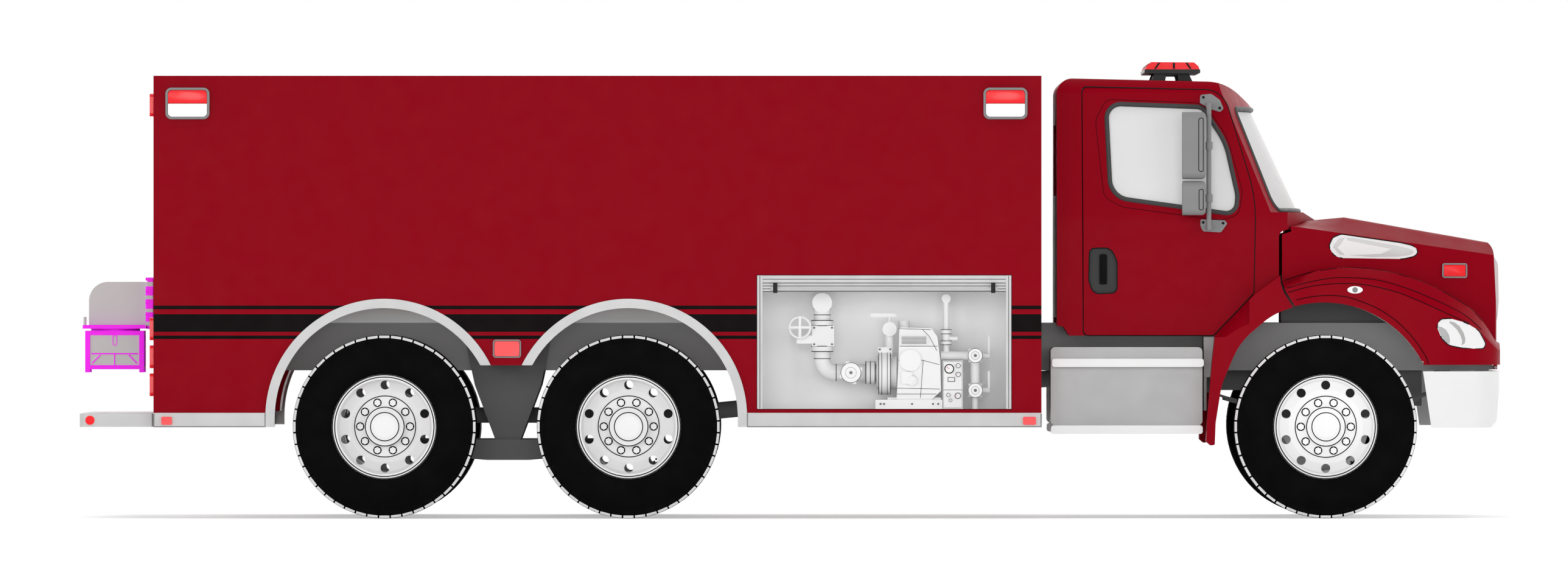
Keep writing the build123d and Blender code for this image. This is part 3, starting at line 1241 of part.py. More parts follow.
hood_outer = hood_volume(0)
hood_inner = hood_volume(HOOD_WALL)
with BuildPart() as hood:
    add(hood_outer)
    add(hood_inner, mode=Mode.SUBTRACT)
    rod_y(FRONT_ARCH_X, FRONT_ARCH_Z, FRONT_ARCH_R, -1300, 1300, Mode.SUBTRACT)
    block((FRONT_ARCH_X - FRONT_ARCH_R - 60, 3625), (-1300, 1300), (700, 900), Mode.SUBTRACT)
    rear_cut = [
        (2600, 800, 0),
        (2894, 1150, 0),
        (2894, 1208, 0),
        (2838, 1298, 30),
        (2820, 1350, 30),
        (2820, 2100, 0),
        (2600, 2100, 0),
    ]
    along_y(rear_cut, -1300, 1300, Mode.SUBTRACT)
    with BuildPart(mode=Mode.PRIVATE) as cowl_cut:
        cowl_rows = [(2700, 1620, 0), (2820, 1626, 30), (2905, 1652, 0), (3060, 1690, 0), (3060, 2100, 0), (2700, 2100, 0)]
        along_y(cowl_rows, -1300, 1300)
        with Locations((SCREEN_FOOT[0] - SCREEN_BOW_R, 0, 1800)):
            Cylinder(SCREEN_BOW_R + COWL_REACH + 13, 800, mode=Mode.INTERSECT)
    add(cowl_cut.part, mode=Mode.SUBTRACT)
    for _, side in SIDES:
        along_y(LAMP_ROWS, side * 700, side * 1300, Mode.SUBTRACT)
        along_y(VENT_ROWS, side * 640, side * 1100, Mode.SUBTRACT)
    along_x(GRILLE_ROWS, 3980, 4120, Mode.SUBTRACT)
    for _, side in SIDES:
        arm_y = sorted((side * (RAIL_OUT_Y + 14), side * (RAIL_OUT_Y + 36)))
        block((4048, 4070), arm_y, (HOOD_PIVOT_Z - 11, 960))
        bore_r = PIVOT_PIN_R + SPINDLE_CLEARANCE
        rod_y(HOOD_PIVOT_X, HOOD_PIVOT_Z, bore_r, side * 430, side * 480, Mode.SUBTRACT)
keep(hood.part, "hood")

with BuildPart() as headlamps:
    for _, side in SIDES:
        along_y(grown(LAMP_ROWS, -GAP), side * 700, side * 1300)
    add(layer(hood_outer, hood_volume(HEADLAMP_DEPTH)), mode=Mode.INTERSECT)
keep(headlamps.part, "headlamps")

with BuildPart() as side_vents:
    for _, side in SIDES:
        along_y(grown(VENT_ROWS, -GAP), side * 640, side * 1100)
    add(layer(hood_outer, hood_inner), mode=Mode.INTERSECT)

# Grille in the nose, and the vents in the bonnet's sides
with BuildPart() as grilles:
    along_x(grown(GRILLE_ROWS, -GAP), 4015, 4110)
    grille_side = [
        (4020, 1120, 0),
        (4070, 1130, 10),
        (4080, 1242, 300),
        (4075, 1460, 60),
        (4046, 1510, 0),
        (4020, 1510, 0),
    ]
    along_y(grille_side, -500, 500, Mode.INTERSECT)
    along_x(grown(GRILLE_ROWS, -34), 4000, 4110, Mode.SUBTRACT)
    with BuildPart(mode=Mode.PRIVATE) as bars:
        for bar in range(7):
            bar_z = 1178 + bar * 44
            block((4034, 4062), (-452, 452), (bar_z, bar_z + 20))
        for rib_y in (-220, 0, 220):
            block((4026, 4050), (rib_y - 8, rib_y + 8), (1150, 1490))
        along_x(grown(GRILLE_ROWS, -30), 4000, 4110, Mode.INTERSECT)
    add(bars.part)
    add(side_vents.part)
keep(grilles.part, "grilles")

# Wheel-arch liners that ride on the hood
with BuildPart() as arch_liners:
    for _, side in SIDES:
        with BuildSketch(Plane.XZ.offset(-side * 560)):
            with Locations((FRONT_ARCH_X, FRONT_ARCH_Z)):
                Circle(FRONT_ARCH_R + 12)
                Circle(FRONT_ARCH_R + 4, mode=Mode.SUBTRACT)
            with Locations((FRONT_ARCH_X, FRONT_ARCH_Z - 500 + 285)):
                Rectangle(1500, 1000, mode=Mode.SUBTRACT)
        extrude(amount=-side * (1150 - 560))
    along_y([(2893, 700, 0), (3800, 700, 0), (3800, 1500, 0), (2893, 1500, 0)], -1300, 1300, Mode.INTERSECT)
keep(arch_liners.part, "arch_liners")

# Front bumper
def bumper_form(inset, z_low, z_high):
    """The bumper's plan, drawn in by an inset, between its sloping ends."""
    with BuildPart() as form:
        plan = [
            (3500, -1185 + inset, 0),
            (3900, -1185 + inset, 250),
            (4072 - inset, -900, 150),
            (4074 - inset, 0, 0),
            (4072 - inset, 900, 150),
            (3900, 1185 - inset, 250),
            (3500, 1185 - inset, 0),
        ]
        along_z(plan, z_low, z_high)
        profile = [(3622, 842, 0), (4074 - inset, 842, 0), (4051 - inset, 558, 20), (4000, 500, 0), (3673, 500, 0)]
        along_y(profile, -1300, 1300, Mode.INTERSECT)
    return form.part


with BuildPart() as bumper:
    add(bumper_form(0, 520, 842))
    with BuildPart(mode=Mode.PRIVATE) as bumper_room:
        add(bumper_form(14, 500, 830))
        block((3500, 3760), (-1171, 1171), (480, 830))
    add(bumper_room.part, mode=Mode.SUBTRACT)
    with BuildPart(mode=Mode.PRIVATE) as open_top:
        add(bumper_form(14, 480, 850))
        block((3400, 3960), (-1300, 1300), (470, 860), Mode.INTERSECT)
    add(open_top.part, mode=Mode.SUBTRACT)
    for _, side in SIDES:
        notch = sorted((side * (RAIL_OUT_Y - 4), side * (RAIL_OUT_Y + 44)))
        block((4030, 4080), notch, (826, 850), Mode.SUBTRACT)
        hanger_y = sorted((side * (RAIL_OUT_Y - 60), side * (RAIL_OUT_Y - 20)))
        block((3970, 4046), hanger_y, (700, RAIL_LOW_Z - GAP))
keep(bumper.part, "bumper")
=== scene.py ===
"""A three-axle tanker fire engine, dressed around its CAD frame.

Metres throughout, +X forward, +Y to the vehicle's left, +Z up; the origin is on the ground under its middle.
"""

import json
import logging
from collections.abc import Iterable, Iterator, Sequence
from contextlib import contextmanager
from dataclasses import dataclass, replace
from enum import Enum
from math import acos, cos, hypot, pi, radians, sin, sqrt, tan

import bpy
from mathutils import Matrix, Vector
from mathutils.bvhtree import BVHTree

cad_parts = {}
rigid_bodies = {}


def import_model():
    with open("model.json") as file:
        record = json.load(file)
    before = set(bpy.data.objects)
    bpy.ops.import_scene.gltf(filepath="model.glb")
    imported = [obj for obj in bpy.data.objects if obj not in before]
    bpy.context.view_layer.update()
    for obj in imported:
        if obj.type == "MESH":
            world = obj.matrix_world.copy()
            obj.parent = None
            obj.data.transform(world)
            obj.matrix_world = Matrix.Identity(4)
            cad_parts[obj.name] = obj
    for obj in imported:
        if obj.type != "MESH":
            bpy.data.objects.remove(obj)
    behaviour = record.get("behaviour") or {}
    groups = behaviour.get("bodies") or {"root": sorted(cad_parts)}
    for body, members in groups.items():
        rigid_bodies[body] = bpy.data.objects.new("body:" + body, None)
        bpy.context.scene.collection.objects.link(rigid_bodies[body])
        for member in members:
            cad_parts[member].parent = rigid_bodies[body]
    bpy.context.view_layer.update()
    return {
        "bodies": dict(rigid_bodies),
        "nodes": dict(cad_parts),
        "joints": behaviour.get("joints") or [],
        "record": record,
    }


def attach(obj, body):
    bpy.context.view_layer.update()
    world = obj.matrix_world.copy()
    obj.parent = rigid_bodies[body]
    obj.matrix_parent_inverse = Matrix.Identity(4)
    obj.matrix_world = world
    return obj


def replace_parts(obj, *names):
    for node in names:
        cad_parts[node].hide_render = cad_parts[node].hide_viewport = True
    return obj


log = logging.getLogger("fire_engine")

Piece = bpy.types.Object
Tree = bpy.types.NodeTree
Socket = bpy.types.NodeSocket
Nodes = dict[str, Piece]
Flat = tuple[float, float]
Point = tuple[float, float, float]
Corner = tuple[float, float, float]  # two coordinates and a corner radius

# Sizes shared with the CAD model
BODY_SIDE = 1.245
RAIL_FACE = 1.257
WHEEL_RADIUS = 0.525
FRONT_AXLE_X = 3.066
TANDEM_X = (-0.923, -2.319)
FRONT_TYRE_Y = 1.028
DUAL_TYRE_Y = (1.081, 0.761)
CAB_SILL_HALF, CAB_BELT_HALF, CAB_ROOF_HALF = 1.005, 1.015, 0.880
CAB_SILL_Z, CAB_BELT_Z, CAB_ROOF_Z = 0.950, 1.700, 2.525
CAB_REAR_X = 1.531
SCREEN_FOOT = (2.947, 1.752)
SCREEN_HEAD = (2.660, 2.364)
SCREEN_BOW = 2.743
CHUTE_X = -3.893
STAND_OFF = 0.0003  # what lies on a surface is held off it by this much
SHARP = radians(35)  # an edge that turns by more than this is sharp


class Side(Enum):
    """A side of the vehicle, with the sign of its Y."""

    RIGHT = -1
    LEFT = 1

    @property
    def word(self) -> str:
        """The side's name as the CAD nodes spell it."""
        return self.name.lower()


# ---------------------------------------------------------------- colours and nodes


def linear(hex_code: str) -> tuple[float, float, float, float]:
    """Turns an sRGB hex colour to the linear values that shaders take, with an alpha of 1.

    Args:
        hex_code: six hex digits.

    Returns:
        Linear red, green, blue and alpha.
    """
    channels = [int(hex_code[i : i + 2], 16) / 255 for i in (0, 2, 4)]
    red, green, blue = (c / 12.92 if c <= 0.04045 else ((c + 0.055) / 1.055) ** 2.4 for c in channels)
    return red, green, blue, 1.0


def add_node(tree: Tree, kind: str, settings: dict | None = None, inputs: dict | None = None) -> bpy.types.Node:
    """Adds a node with its settings, its values and its links.

    Args:
        tree: the node tree that gets it.
        kind: the node's type name, without its ShaderNode.
        settings: attribute values.
        inputs: by socket name or number, a value or the output socket that feeds it.

    Returns:
        The new node.
    """
    node = tree.nodes.new(f"ShaderNode{kind}")
    for name, value in (settings or {}).items():
        setattr(node, name, value)
    for name, value in (inputs or {}).items():
        if isinstance(value, Socket):
            tree.links.new(value, node.inputs[name])
        else:
            node.inputs[name].default_value = value
    return node


def maths(tree: Tree, operation: str, *values: Socket | float) -> Socket:
    """Adds a Math node and gives its result."""
    return add_node(tree, "Math", {"operation": operation}, dict(enumerate(values))).outputs[0]


def noise(tree: Tree, place: Socket, scale: float, detail: float) -> Socket:
    """Adds a noise texture and gives its value."""
    return add_node(tree, "TexNoise", inputs={"Vector": place, "Scale": scale, "Detail": detail}).outputs["Fac"]


def mixed(tree: Tree, share: Socket, low: Sequence[float] | Socket, high: Sequence[float]) -> Socket:
    """Adds a Mix node of two colours and gives its result."""
    return add_node(tree, "Mix", {"data_type": "RGBA"}, {0: share, 6: low, 7: high}).outputs[2]


@dataclass(frozen=True)
class Zone:
    """A box of space in which a finish takes another colour; None leaves a side open."""

    low: tuple[float | None, float | None, float | None]
    high: tuple[float | None, float | None, float | None]
    colour: str

    def mask(self, tree: Tree, axes: bpy.types.Node) -> Socket:
        """Builds the zone's mask.

        Args:
            tree: the material's node tree.
            axes: a Separate XYZ node on Object coordinates, its Y taken as a distance from the centre plane.

        Returns:
            The socket that is 1 inside the box and 0 outside it.
        """
        mask = None
        for axis in range(3):
            for limit, operation in ((self.low[axis], "GREATER_THAN"), (self.high[axis], "LESS_THAN")):
                if limit is not None:
                    inside = maths(tree, operation, axes.outputs[axis], limit)
                    mask = inside if mask is None else maths(tree, "MULTIPLY", mask, inside)
        return mask


# ---------------------------------------------------------------- finishes


@dataclass(frozen=True)
class Finish:
    """A surface finish: a colour with a little drift, a grain in its relief and the shader's own numbers."""

    name: str
    colour: str
    roughness: float = 0.5
    metallic: float = 0.0
    specular: float = 0.2
    coat: float = 0.0
    transmission: float = 0.0
    ior: float = 1.5
    sheen: float = 0.0
    drift: float = 0.04  # how far the colour wanders, as a share
    drift_size: float = 0.35  # metres
    grain_size: float = 0.004  # metres
    grain_depth: float = 0.00004  # metres
    grain_stretch: Point = (1.0, 1.0, 1.0)
    zones: tuple[Zone, ...] = ()

    def material(self) -> bpy.types.Material:
        """Builds the material, or returns the one that is there already.

        Returns:
            The Blender material of this finish.
        """
        found = bpy.data.materials.get(self.name)
        if found:
            return found
        material = bpy.data.materials.new(self.name)
        material.use_nodes = True
        tree = material.node_tree
        tree.nodes.clear()
        place = add_node(tree, "TexCoord").outputs["Object"]
        inputs = {
            "Base Color": self.coloured(tree, place),
            "Roughness": self.worn(tree, place),
            "Metallic": self.metallic,
            "Specular IOR Level": self.specular,
            "Coat Weight": self.coat,
            "Coat Roughness": 0.08,
            "Transmission Weight": self.transmission,
            "IOR": self.ior,
            "Sheen Weight": self.sheen,
            "Normal": self.grained(tree, place),
        }
        shader = add_node(tree, "BsdfPrincipled", inputs=inputs)
        add_node(tree, "OutputMaterial", inputs={"Surface": shader.outputs["BSDF"]})
        return material

    def coloured(self, tree: Tree, place: Socket) -> Socket:
        """The base colour: the finish's own, drifting slightly, with its zones laid over it.

        Args:
            tree: the material's node tree.
            place: the Object coordinates.

        Returns:
            The colour's socket.
        """
        base = Vector(linear(self.colour)[:3])
        darker, lighter = base * (1 - self.drift), base * (1 + self.drift)
        colour = mixed(tree, noise(tree, place, 1 / self.drift_size, 3.0), (*darker, 1.0), (*lighter, 1.0))
        axes = self.folded_axes(tree, place) if self.zones else None
        for zone in self.zones:
            colour = mixed(tree, zone.mask(tree, axes), colour, linear(zone.colour))
        return colour

    def folded_axes(self, tree: Tree, place: Socket) -> bpy.types.Node:
        """Separates the coordinates, with Y as a distance from the centre plane.

        Args:
            tree: the material's node tree.
            place: the Object coordinates.

        Returns:
            The Separate XYZ node.
        """
        absolute = add_node(tree, "VectorMath", {"operation": "ABSOLUTE"}, {0: place})
        apart = add_node(tree, "SeparateXYZ", inputs={0: place}).outputs
        folded = add_node(tree, "SeparateXYZ", inputs={0: absolute.outputs[0]}).outputs
        whole = add_node(tree, "CombineXYZ", inputs={0: apart[0], 1: folded[1], 2: apart[2]})
        return add_node(tree, "SeparateXYZ", inputs={0: whole.outputs[0]})

    def worn(self, tree: Tree, place: Socket) -> Socket:
        """The roughness, a little uneven as handling and weather leave it.

        Args:
            tree: the material's node tree.
            place: the Object coordinates.

        Returns:
            The roughness's socket.
        """
        wear = noise(tree, place, 9.0, 4.0)
        spread = {0: wear, 1: 0.3, 2: 0.7, 3: self.roughness * 0.9, 4: min(1.0, self.roughness * 1.1)}
        return add_node(tree, "MapRange", inputs=spread).outputs[0]

    def grained(self, tree: Tree, place: Socket) -> Socket:
        """The relief: a fine noise at the finish's grain size.

        Args:
            tree: the material's node tree.
            place: the Object coordinates.

        Returns:
            The normal's socket.
        """
        stretched = add_node(tree, "Mapping", inputs={"Vector": place, "Scale": self.grain_stretch}).outputs[0]
        grain = noise(tree, stretched, 1 / self.grain_size, 2.0)
        relief = {"Height": grain, "Strength": 0.5, "Distance": self.grain_depth}
        return add_node(tree, "Bump", inputs=relief).outputs["Normal"]


FLEET_RED, LAMP_RED, MAGENTA, STRIPE_BLACK = "870014", "ED1C24", "FF00FF", "0B0607"
OPEN = (None, None, None)

STRIPES = tuple(
    Zone((None, BODY_SIDE - 0.004, low), (None, None, high), STRIPE_BLACK)
    for low, high in ((1.197, 1.218), (1.068, 1.169), (1.027, 1.047))
)
BAY = Zone((-0.1885, None, 0.6255), (1.2685, 1.2436, 1.3925), "F4F4F4")
HANDLE_RECESS = Zone((1.710, 0.986, 1.280), (1.878, 1.0085, 1.552), "404040")
HANDLE_PADDLE = Zone((1.7735, 0.9905, 1.3385), (1.8175, 1.0085, 1.5125), "050505")
CLAMPS = tuple(Zone((x - 0.0125, 1.2455, None), (x + 0.0125, None, None), "141414") for x in (-0.083, 1.163))
TAIL_LAMP = Zone((-4.04, 1.1502, 0.53), (-3.97, None, 0.60), LAMP_RED)
LENS = Zone((None, None, 2.5745), OPEN, LAMP_RED)
FLANGES = (
    *(
        Zone((-3.7155, None, low), (-3.6625, None, high), MAGENTA)
        for low, high in ((1.353, 1.386), (1.275, 1.328), (1.198, 1.254), (1.125, 1.179), (1.060, 1.101))
    ),
    Zone((None, None, 1.05), (-3.716, None, 1.1055), MAGENTA),
)
CHUTE_EDGES = (
    Zone((None, None, 1.046), OPEN, MAGENTA),
    Zone(OPEN, (None, None, 0.874), MAGENTA),
    Zone(OPEN, (CHUTE_X - 0.141, None, None), MAGENTA),
    Zone((CHUTE_X + 0.141, None, None), OPEN, MAGENTA),
)

# Polyurethane fleet enamel, sprayed: deep and even, with a faint orange peel about 4 mm across
MAROON_ENAMEL = Finish("maroon_enamel", FLEET_RED, 0.45, specular=0.03, drift=0.03)
# The same enamel with vinyl stripes cut in along the body, and the pale baked lining inside the compartments
STRIPED_ENAMEL = replace(MAROON_ENAMEL, name="striped_enamel", zones=(*STRIPES, BAY))
# The same enamel on the doors, whose handle recess is a dark moulding with a black paddle
DOOR_ENAMEL = replace(MAROON_ENAMEL, name="door_enamel", zones=(HANDLE_RECESS, HANDLE_PADDLE))
# Enamel in the shadow of a pressed line: a dark maroon of painted shade, laid on thin beads that trace the swages
SHADED_ENAMEL = Finish("pressed_line_enamel", "2A0006", 0.5, specular=0.05, drift=0.03)
# Powder-coated steel of the frame: flat grey, painted lighter than its own mid grey to make up for the shade under
# the body, softly pebbled
LIGHTENED_FRAME_COATING = Finish("frame_powder_coat", "A6A6A6", 0.6, grain_size=0.002)
# Cast iron and forged steel under a coat of chassis paint: dark and rough
FORGED_STEEL = Finish(
    "painted_forged_steel", "787878", 0.7, specular=0.15, drift=0.1, grain_size=0.006, grain_depth=0.0002
)
# Brushed aluminium of the trims: even light grey with fine lines along the vehicle
BRUSHED_TRIM = Finish(
    "brushed_aluminium", "BCBCBC", metallic=0.15, specular=0.15, grain_stretch=(0.05, 1, 1), grain_size=0.003
)
# Spun aluminium of the fuel tanks, a shade darker, its lines running upwards
FUEL_ALUMINIUM = replace(BRUSHED_TRIM, name="satin_aluminium_tank", colour="A8A8A8", grain_stretch=(1, 1, 0.05))
# Extruded aluminium of the shutters, with the lift bar's black clamps
SHUTTER_ALUMINIUM = replace(BRUSHED_TRIM, name="shutter_aluminium", colour="BEBEBE", zones=CLAMPS)
# The tailboard's pressed aluminium, with a round red lamp in each end
TAILBOARD_ALUMINIUM = replace(
    BRUSHED_TRIM,
    name="tailboard_aluminium",
    grain_stretch=(1.0, 1.0, 1.0),
    grain_size=0.02,
    grain_depth=0.0006,
    zones=(TAIL_LAMP,),
)
# Moulded light grey ABS of the bumper, grille and bezels
LIGHT_ABS = Finish("light_grey_abs", "E6E6E6", 0.45, grain_size=0.0015)
# Mid grey ABS of the inner vent and the lamp bowls
MID_ABS = Finish("mid_grey_abs", "CCCCCC", grain_size=0.0015)
# Grey moulded mirror housings
MIRROR_ABS = Finish("mirror_housing_abs", "808080", grain_size=0.0015)
# Baked white enamel of wheels, tank and pump set, with a slight texture
WHITE_ENAMEL = Finish("white_enamel", "F4F4F4", 0.4, specular=0.25, drift=0.02, grain_size=0.005)
# Satin casting paint of the pump set, a shade under the lining behind it
CAST_ENAMEL = Finish("cast_enamel", "F0F0F0", drift=0.03, grain_size=0.003, grain_depth=0.0001)
# Painted castings of the dump valve: an elbow with magenta flanges and a chute with magenta edges
ELBOW_ENAMEL = Finish("elbow_enamel", "C3C3C3", 0.45, zones=FLANGES)
CHUTE_ENAMEL = replace(ELBOW_ENAMEL, name="chute_enamel", zones=CHUTE_EDGES)
# Magenta marking enamel on the dump valve's straps
MAGENTA_ENAMEL = Finish("magenta_enamel", MAGENTA, 0.45, specular=0.15, drift=0.02)
# Black base and feet of the lightbar, its red lens above them
LIGHTBAR_SHELL = Finish("lightbar_shell", "060606", 0.4, specular=0.15, zones=(LENS,))
# Vulcanised tyre rubber: near black, dull, with a fine mould grain
TYRE_RUBBER = Finish(
    "vulcanised_rubber", "050505", 0.8, specular=0.05, drift=0.2, grain_size=0.003, grain_depth=0.0003
)
# A pale painted highlight along the tread's shoulder edge, laid on the rubber
SHOULDER_HIGHLIGHT = Finish("pale_shoulder_rubber", "F2F2F2", 0.7, specular=0.1, grain_size=0.003)
# Extruded dark rubber round the panes
GASKET_RUBBER = Finish("extruded_gasket", "404040", 0.6, specular=0.15, grain_size=0.002)
# Black moulded plastic and soft seals
BLACK_PLASTIC = Finish("black_moulding", "060606", 0.55, specular=0.12, grain_size=0.002)
# Silvered glass of the mirrors
SILVERED_GLASS = Finish("silvered_glass", "D8DCDE", 0.04, metallic=1.0, drift=0.0, grain_depth=0.0)
# Laminated pale glazing: mostly a light veil, with a little of the cab behind it
GLAZING = Finish(
    "pale_laminated_glass", "F0F0F0", 0.12, specular=0.12, transmission=0.2, ior=1.45, drift=0.01, grain_depth=0.0
)
# The bowed windscreen, tinted a little more and with a dull coating, so that its curve shows against the sky
SCREEN_GLAZING = Finish(
    "tinted_screen_glass", "DCDCDC", 0.3, specular=0.02, transmission=0.05, ior=1.1, drift=0.01, grain_depth=0.0
)
# Moulded red acrylic over the lamps
RED_ACRYLIC = Finish(
    "red_acrylic", LAMP_RED, 0.25, coat=0.1, drift=0.03, grain_size=0.006, grain_depth=0.0003
)
# Clear white acrylic of the lower lamp halves
CLEAR_ACRYLIC = Finish(
    "clear_acrylic", "FAFAFA", 0.2, specular=0.3, drift=0.01, grain_size=0.006, grain_depth=0.0003
)
# Woven seat fabric, dark, with a thread every 3 mm drawn coarse enough to show
SEAT_FABRIC = Finish(
    "woven_seat_fabric", "3A3C40", 0.9, specular=0.1, sheen=0.3, drift=0.15, grain_size=0.003, grain_depth=0.0008
)
# Textured vinyl of the dashboard and the cab's lining
CAB_VINYL = Finish("grained_vinyl", "4A4A4A", 0.65, specular=0.15, grain_depth=0.0004)
# Lit paper sweep under the vehicle
PALE_FLOOR = Finish("pale_floor", "FAFAFA", 0.9, specular=0.0, drift=0.01, grain_depth=0.0)


# ---------------------------------------------------------------- modelling helpers


def clear_selection() -> None:
    """Leaves object mode active and nothing selected."""
    if bpy.context.object and bpy.context.object.mode != "OBJECT":
        bpy.ops.object.mode_set(mode="OBJECT")
    bpy.ops.object.select_all(action="DESELECT")


def select_only(piece: Piece) -> None:
    """Leaves object mode active and one piece selected.

    Args:
        piece: the piece.
    """
    clear_selection()
    bpy.context.view_layer.objects.active = piece
    piece.select_set(True)


def added(name: str) -> Piece:
    """Names the object that an operator has just added, and its mesh.

    Args:
        name: its name.

    Returns:
        The object.
    """
    piece = bpy.context.object
    piece.name = piece.data.name = name
    return piece


@contextmanager
def editing(piece: Piece) -> Iterator[None]:
    """Opens a piece in edit mode with everything on it selected, and closes it again.

    Args:
        piece: the piece.

    Returns:
        A context in which the piece is open.
    """
    select_only(piece)
    bpy.ops.object.mode_set(mode="EDIT")
    bpy.ops.mesh.select_all(action="SELECT")
    yield
    bpy.ops.object.mode_set(mode="OBJECT")


def face_outwards() -> None:
    """Turns every face of the mesh in edit mode outwards."""
    bpy.ops.mesh.select_all(action="SELECT")
    bpy.ops.mesh.normals_make_consistent(inside=False)


def apply_modifier(piece: Piece, kind: str, **settings: float | str) -> None:
    """Gives the active piece a modifier with these settings and applies it.

    Args:
        piece: the piece.
        kind: the modifier's type.
        settings: its attributes.
    """
    modifier = piece.modifiers.new(kind, kind)
    for name, value in settings.items():
        setattr(modifier, name, value)
    bpy.ops.object.modifier_apply(modifier=modifier.name)


def soften(piece: Piece, width: float, segments: int = 2) -> None:
    """Rounds a piece's sharp edges and smooths its shading.

    Args:
        piece: the piece.
        width: the bevel's width in metres.
        segments: how many faces round each edge.
    """
    select_only(piece)
    if width:
        apply_modifier(piece, "BEVEL", width=width, segments=segments, limit_method="ANGLE", angle_limit=SHARP)
    bpy.ops.object.shade_smooth_by_angle(angle=SHARP)


def rounded_outline(corners: Sequence[Corner], steps: int = 6) -> list[Flat]:
    """Rounds the corners of a closed outline.

    Args:
        corners: rows of two coordinates and a corner radius.
        steps: faces round each corner.

    Returns:
        The outline's points, in order.
    """
    points: list[Flat] = []
    for i, (x, z, radius) in enumerate(corners):
        if not radius:
            points.append((x, z))
            continue
        here = Vector((x, z))
        before = (Vector(corners[i - 1][:2]) - here).normalized()
        after = (Vector(corners[(i + 1) % len(corners)][:2]) - here).normalized()
        half = acos(max(-1.0, min(1.0, before.dot(after)))) / 2
        reach = radius / tan(half)
        centre = here + (before + after).normalized() * (radius / sin(half))
        start, end = here + before * reach - centre, here + after * reach - centre
        for step in range(steps + 1):
            ray = start.lerp(end, step / steps).normalized() * radius
            points.append(tuple(centre + ray))
    return points


def rectangle(low: Flat, high: Flat, radius: float = 0.0, steps: int = 6) -> list[Flat]:
    """The outline of an upright rectangle with rounded corners."""
    places = (low, (high[0], low[1]), high, (low[0], high[1]))
    return rounded_outline([(*place, radius) for place in places], steps)


def ellipse(x: float, z: float, half_x: float, half_z: float, count: int = 32) -> list[Flat]:
    """The points of an ellipse about X and Z."""
    turns = [2 * pi * i / count for i in range(count)]
    return [(x + half_x * cos(turn), z + half_z * sin(turn)) for turn in turns]


def subdivided(outline: Sequence[Flat], count: int) -> Iterator[Flat]:
    """Divides each run of a closed outline evenly.

    Args:
        outline: the outline.
        count: parts to each run.

    Returns:
        The points, one after another.
    """
    for i, (u, v) in enumerate(outline):
        after = outline[(i + 1) % len(outline)]
        for step in range(count):
            yield u + (after[0] - u) * step / count, v + (after[1] - v) * step / count


def smooth_line(corners: Sequence[Flat], steps: int = 6) -> list[Flat]:
    """Runs a Catmull-Rom line through points.

    Args:
        corners: the points in X and Z.
        steps: points along each run.

    Returns:
        The line's points.
    """
    padded = [corners[0], *corners, corners[-1]]
    line = []
    for near in zip(padded, padded[1:], padded[2:], padded[3:]):
        for i in range(steps):
            t = i / steps
            point = []
            for p, q, r, s in zip(*near):
                square, cube = 2 * p - 5 * q + 4 * r - s, 3 * q - p - 3 * r + s
                point.append(0.5 * (2 * q + (r - p) * t + square * t**2 + cube * t**3))
            line.append(tuple(point))
    return [*line, corners[-1]]


def millimetres(rows: Iterable[Sequence[float]]) -> list[tuple[float, ...]]:
    """Turns rows in millimetres to metres."""
    return [tuple(value / 1000 for value in row) for row in rows]


def on_side(outline: Iterable[Flat], y: float) -> list[Point]:
    """Places a side outline of X and Z at one Y."""
    return [(x, y, z) for x, z in outline]


def flat_sheet(name: str, points: Sequence[Point]) -> Piece:
    """Makes one flat face: a filled circle whose vertices are moved to the outline.

    Args:
        name: the piece's name.
        points: the outline in space.

    Returns:
        The new object.
    """
    clear_selection()
    bpy.ops.mesh.primitive_circle_add(vertices=len(points), fill_type="NGON")
    sheet = added(name)
    for vertex, point in zip(sheet.data.vertices, points):
        vertex.co = point
    return sheet


def slab(name: str, points: Sequence[Point], depth: Point, edge: float = 0.0, ring: float = 0.0) -> Piece:
    """Extrudes an outline to a plate, or a band along the inside of the outline to a raised ring.

    Args:
        name: the piece's name.
        points: the outline in space.
        depth: the extrusion.
        edge: the width of the softened edge.
        ring: the band's width, 0 for a whole plate.

    Returns:
        The new object.
    """
    piece = flat_sheet(name, points)
    with editing(piece):
        if ring:
            bpy.ops.mesh.select_mode(type="FACE")
            bpy.ops.mesh.inset(thickness=ring, use_even_offset=True)
            bpy.ops.mesh.delete(type="FACE")
            bpy.ops.mesh.select_all(action="SELECT")
        bpy.ops.mesh.extrude_region_move(TRANSFORM_OT_translate={"value": depth})
        face_outwards()
    soften(piece, edge)
    return piece


def rod(name: str, start: Point, end: Point, radius: float, sides: int = 24, edge: float = 0.0) -> Piece:
    """Makes a round rod between two points.

    Args:
        name: the piece's name.
        start: one end.
        end: the other end.
        radius: its radius.
        sides: faces round it.
        edge: the width of the softened ends.

    Returns:
        The new object.
    """
    clear_selection()
    along = Vector(end) - Vector(start)
    middle = (Vector(start) + Vector(end)) / 2
    bpy.ops.mesh.primitive_cylinder_add(vertices=sides, radius=radius, depth=along.length)
    piece = added(name)
    piece.data.transform(Matrix.Translation(middle) @ along.to_track_quat("Z", "Y").to_matrix().to_4x4())
    soften(piece, edge)
    return piece


def seal(name: str, points: Sequence[Point], radius: float, closed: bool = True) -> Piece:
    """Runs a round rubber section along a path.

    Args:
        name: the piece's name.
        points: the path.
        radius: the section's radius.
        closed: whether the path closes on itself.

    Returns:
        The new mesh object.
    """
    curve = bpy.data.curves.new(name, "CURVE")
    curve.dimensions = "3D"
    curve.bevel_depth, curve.bevel_resolution = radius, 2
    curve.use_fill_caps = not closed
    spline = curve.splines.new("POLY")
    spline.points.add(len(points) - 1)
    for target, point in zip(spline.points, points):
        target.co = (*point, 1.0)
    spline.use_cyclic_u = closed
    piece = bpy.data.objects.new(name, curve)
    bpy.context.scene.collection.objects.link(piece)
    select_only(piece)
    bpy.ops.object.convert(target="MESH")
    bpy.ops.object.shade_smooth()
    return added(name)


